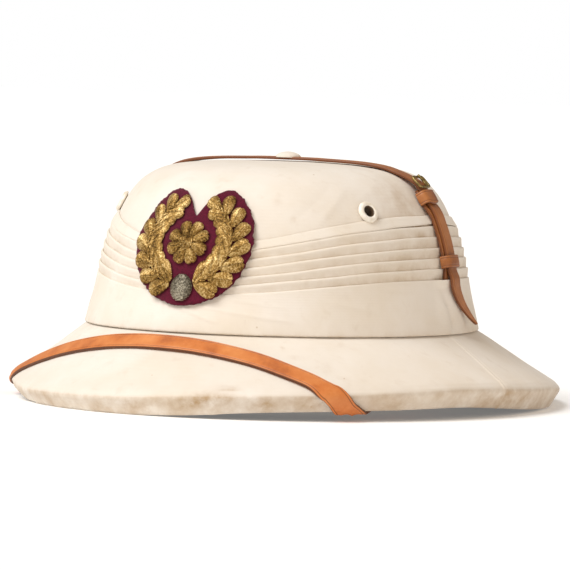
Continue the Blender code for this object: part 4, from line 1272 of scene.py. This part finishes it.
def lay_thread(work, path, radius):
    """Add one length of bullion along a path over the badge: places across, up and out."""
    points = [badge_point(*place) for place in path]
    last = len(points) - 1
    loops = []
    for place, point in enumerate(points):
        ahead = points[min(place + 1, last)] - points[max(place - 1, 0)]
        side_way = ahead.cross(Vector((0, -1, 0))).normalized()
        up = side_way.cross(ahead).normalized()
        slim = 0.55 if place in (0, last) else 1.0
        loop = []
        for side in range(THREAD_SIDES):
            turn = 2 * math.pi * side / THREAD_SIDES
            out = side_way * math.cos(turn) + up * math.sin(turn)
            loop.append(work.verts.new(point + out * radius * slim))
        loops.append(loop)
    for here, there in zip(loops, loops[1:]):
        for step in range(THREAD_SIDES):
            after = (step + 1) % THREAD_SIDES
            work.faces.new((here[step], here[after], there[after], there[step]))
    work.faces.new(loops[0])
    work.faces.new(loops[-1])


def lay_leaf(work, root, heading, length, width, high):
    """Leaf of slanting lengths of bullion on both sides of a vein, over padding."""
    way = Vector((math.cos(heading), math.sin(heading)))
    square = Vector((-way.y, way.x))
    count = max(4, round(length / (1.9 * BULLION)))
    for side in (-1, 1):
        for row in range(count):
            share = (row + 0.5) / count
            half = width / 2 * math.sin(math.pi * min(1.0, 0.10 + 0.86 * share)) ** 0.75
            start = share * 0.84 * length
            path = []
            for step in range(5):
                part = step / 4
                place = root + way * (start + part * half * 0.75) + square * side * part * half
                dome = high * (0.35 + 0.65 * math.sin(math.pi * (0.15 + 0.7 * share))) * math.cos(part * 1.25)
                path.append((place.x, place.y, FELT_THICK + 0.35 * MM + dome))
            lay_thread(work, path, BULLION)


def sew_down(work, name, material, node):
    """Make a piece of the laid bullion."""
    bmesh.ops.recalc_face_normals(work, faces=work.faces)
    mesh = bpy.data.meshes.new(name)
    work.to_mesh(mesh)
    work.free()
    return place_piece(name, mesh, material, [node], 60)


def stem_place(side, share):
    """Place on a spray's stem, which curves up from the tie on one side of the badge."""
    turn = STEM_START + (STEM_END - STEM_START) * share
    return Vector((side * STEM_ACROSS * math.sin(turn), -STEM_UP * math.cos(turn)))


for side, node in ((1, "badge_spray_left"), (-1, "badge_spray_right")):
    work = bmesh.new()
    for leaf in range(LEAVES):
        share = leaf / LEAVES
        place = stem_place(side, share)
        ahead = stem_place(side, share + 0.02) - place
        heading = math.atan2(ahead.y, ahead.x)
        size = 1.0 - 0.30 * share ** 1.5
        for lean in (-LEAF_LEAN, LEAF_LEAN):
            lay_leaf(work, place, heading + lean, LEAF_LENGTH * size, LEAF_WIDTH * size, LEAF_HEIGHT)
    place = stem_place(side, 0.95)
    ahead = stem_place(side, 0.99) - place
    lay_leaf(work, place, math.atan2(ahead.y, ahead.x), 10 * MM, 6.4 * MM, 1.5 * MM)
    for strand in range(2):
        path = []
        for step in range(91):
            share = step / 90
            place = stem_place(side, share)
            ahead = stem_place(side, share + 0.01) - stem_place(side, share - 0.01)
            square = Vector((-ahead.y, ahead.x)).normalized()
            twist = math.pi * strand + 56 * share
            aside = place + square * 0.42 * MM * math.cos(twist)
            path.append((aside.x, aside.y, FELT_THICK + 1.75 * MM + 0.42 * MM * math.sin(twist)))
        lay_thread(work, path, 0.4 * MM)
    sew_down(work, node + "_leaves", gold_bullion, node)

# Rosette: eight padded petals of the same gilt bullion, sewn down one by one round a boss that
# is one long coil of it.
ROSETTE_RADIUS = 11 * MM
PETALS = 8
work = bmesh.new()
for petal in range(PETALS):
    turn = 2 * math.pi * (petal + 0.5) / PETALS
    root = Vector((math.cos(turn), math.sin(turn))) * 2.6 * MM
    lay_leaf(work, root, turn, ROSETTE_RADIUS - 1.4 * MM, 6.3 * MM, 2.3 * MM)
path = []
for step in range(131):
    share = step / 130
    turn = 2 * math.pi * 5 * share
    reach = 4.0 * MM * (1 - share)
    path.append((reach * math.cos(turn), reach * math.sin(turn),
                 FELT_THICK + 1.4 * MM + 1.7 * MM * math.sqrt(max(0.0, 1 - (reach / (4.3 * MM)) ** 2))))
lay_thread(work, path, 0.46 * MM)
sew_down(work, "badge_rosette_petals", gold_bullion, "badge_rosette")

# Tie: an oval knot of silvered bullion, tarnished grey. Its rows lie side by side over padding,
# across both stems at the bottom of the badge.
work = bmesh.new()
middle = (TIE_HEIGHT - BADGE_HEIGHT) / 2
rows = 18
for row in range(rows):
    share = (row + 0.5) / rows * 2 - 1
    half = TIE_WIDTH / 2 * math.sqrt(1 - share * share * 0.96)
    path = []
    for step in range(9):
        part = step / 4 - 1
        dome = 2.2 * MM * math.sqrt(max(0.0, 1 - 0.93 * part * part)) * math.sqrt(1 - 0.8 * share * share)
        path.append((part * half, middle + share * (TIE_HEIGHT / 2 - BULLION), FELT_THICK + 0.3 * MM + dome))
    lay_thread(work, path, 0.45 * MM)
sew_down(work, "badge_tie_knot", silver_bullion, "badge_tie")

# Camera: a long lens at the front left of the helmet, a little above the table and rolled
# slightly. A picture 570 pixels wide shows 0.54 mm in each pixel.
VIEW_ANGLE = math.radians(26)
VIEW_RISE = math.radians(2.6)
VIEW_ROLL = math.radians(1.8)
VIEW_AWAY = 2.5
VIEW_WIDTH = 570 * 0.54 * MM
aim = Vector((0, -8 * MM, 62.3 * MM))
back = Vector((math.sin(VIEW_ANGLE) * math.cos(VIEW_RISE), -math.cos(VIEW_ANGLE) * math.cos(VIEW_RISE),
               math.sin(VIEW_RISE)))
lens = bpy.data.cameras.new("view")
lens.sensor_width = 36.0
lens.lens = 36.0 * VIEW_AWAY / VIEW_WIDTH
camera = bpy.data.objects.new("view", lens)
bpy.context.scene.collection.objects.link(camera)
right = Vector((math.cos(VIEW_ANGLE), math.sin(VIEW_ANGLE), 0))
turn = Matrix((right, back.cross(right), back)).transposed() @ Matrix.Rotation(VIEW_ROLL, 3, "Z")
camera.matrix_world = Matrix.Translation(aim + back * VIEW_AWAY) @ turn.to_4x4()
bpy.context.scene.camera = camera

# Floor and light: a plain pale floor, one large soft light from the upper left, a weak warm fill
# from the right and a pale surround.
bpy.ops.object.select_all(action="DESELECT")
bpy.ops.mesh.primitive_plane_add(size=60, location=(0, 0, 0))
floor = bpy.context.object
floor.name = "floor"
paper, tree, shader = new_material("pale_paper", 0.9)
shader.inputs["Base Color"].default_value = linear("#f4f4f3")
shader.inputs["Specular IOR Level"].default_value = 0.1
shader.inputs["Emission Color"].default_value = linear("#ffffff")
shader.inputs["Emission Strength"].default_value = 0.14
floor.data.materials.append(paper)


def soft_light(name, azimuth, elevation, spread, power, colour):
    """Even light from an azimuth and elevation, as wide as its spread, all in degrees."""
    lamp = bpy.data.lights.new(name, "SUN")
    lamp.angle = math.radians(spread)
    lamp.energy = power
    lamp.color = linear(colour)[:3]
    turn, rise = math.radians(azimuth), math.radians(elevation)
    way = Vector((math.sin(turn) * math.cos(rise), -math.cos(turn) * math.cos(rise), math.sin(rise)))
    lit = bpy.data.objects.new(name, lamp)
    bpy.context.scene.collection.objects.link(lit)
    lit.rotation_euler = way.to_track_quat("Z", "Y").to_euler()


soft_light("key_light", -28, 49, 40, 2.75, "#ffffff")
soft_light("fill_light", 70, 22, 60, 0.36, "#ffd9b0")
world = bpy.data.worlds.new("surround")
world.use_nodes = True
surround = world.node_tree
backdrop = surround.nodes["Background"]
backdrop.inputs["Color"].default_value = linear("#ffffff")
backdrop.inputs["Strength"].default_value = 1.0
dim = add(surround, "ShaderNodeBackground", {"Color": "#fff7ee", "Strength": 0.40})
seen = add(surround, "ShaderNodeLightPath").outputs["Is Camera Ray"]
blend = add(surround, "ShaderNodeMixShader", {0: seen, 1: dim.outputs[0], 2: backdrop.outputs[0]})
surround.links.new(blend.outputs[0], surround.nodes["World Output"].inputs["Surface"])
bpy.context.scene.world = world
bpy.context.scene.view_settings.view_transform = "Standard"
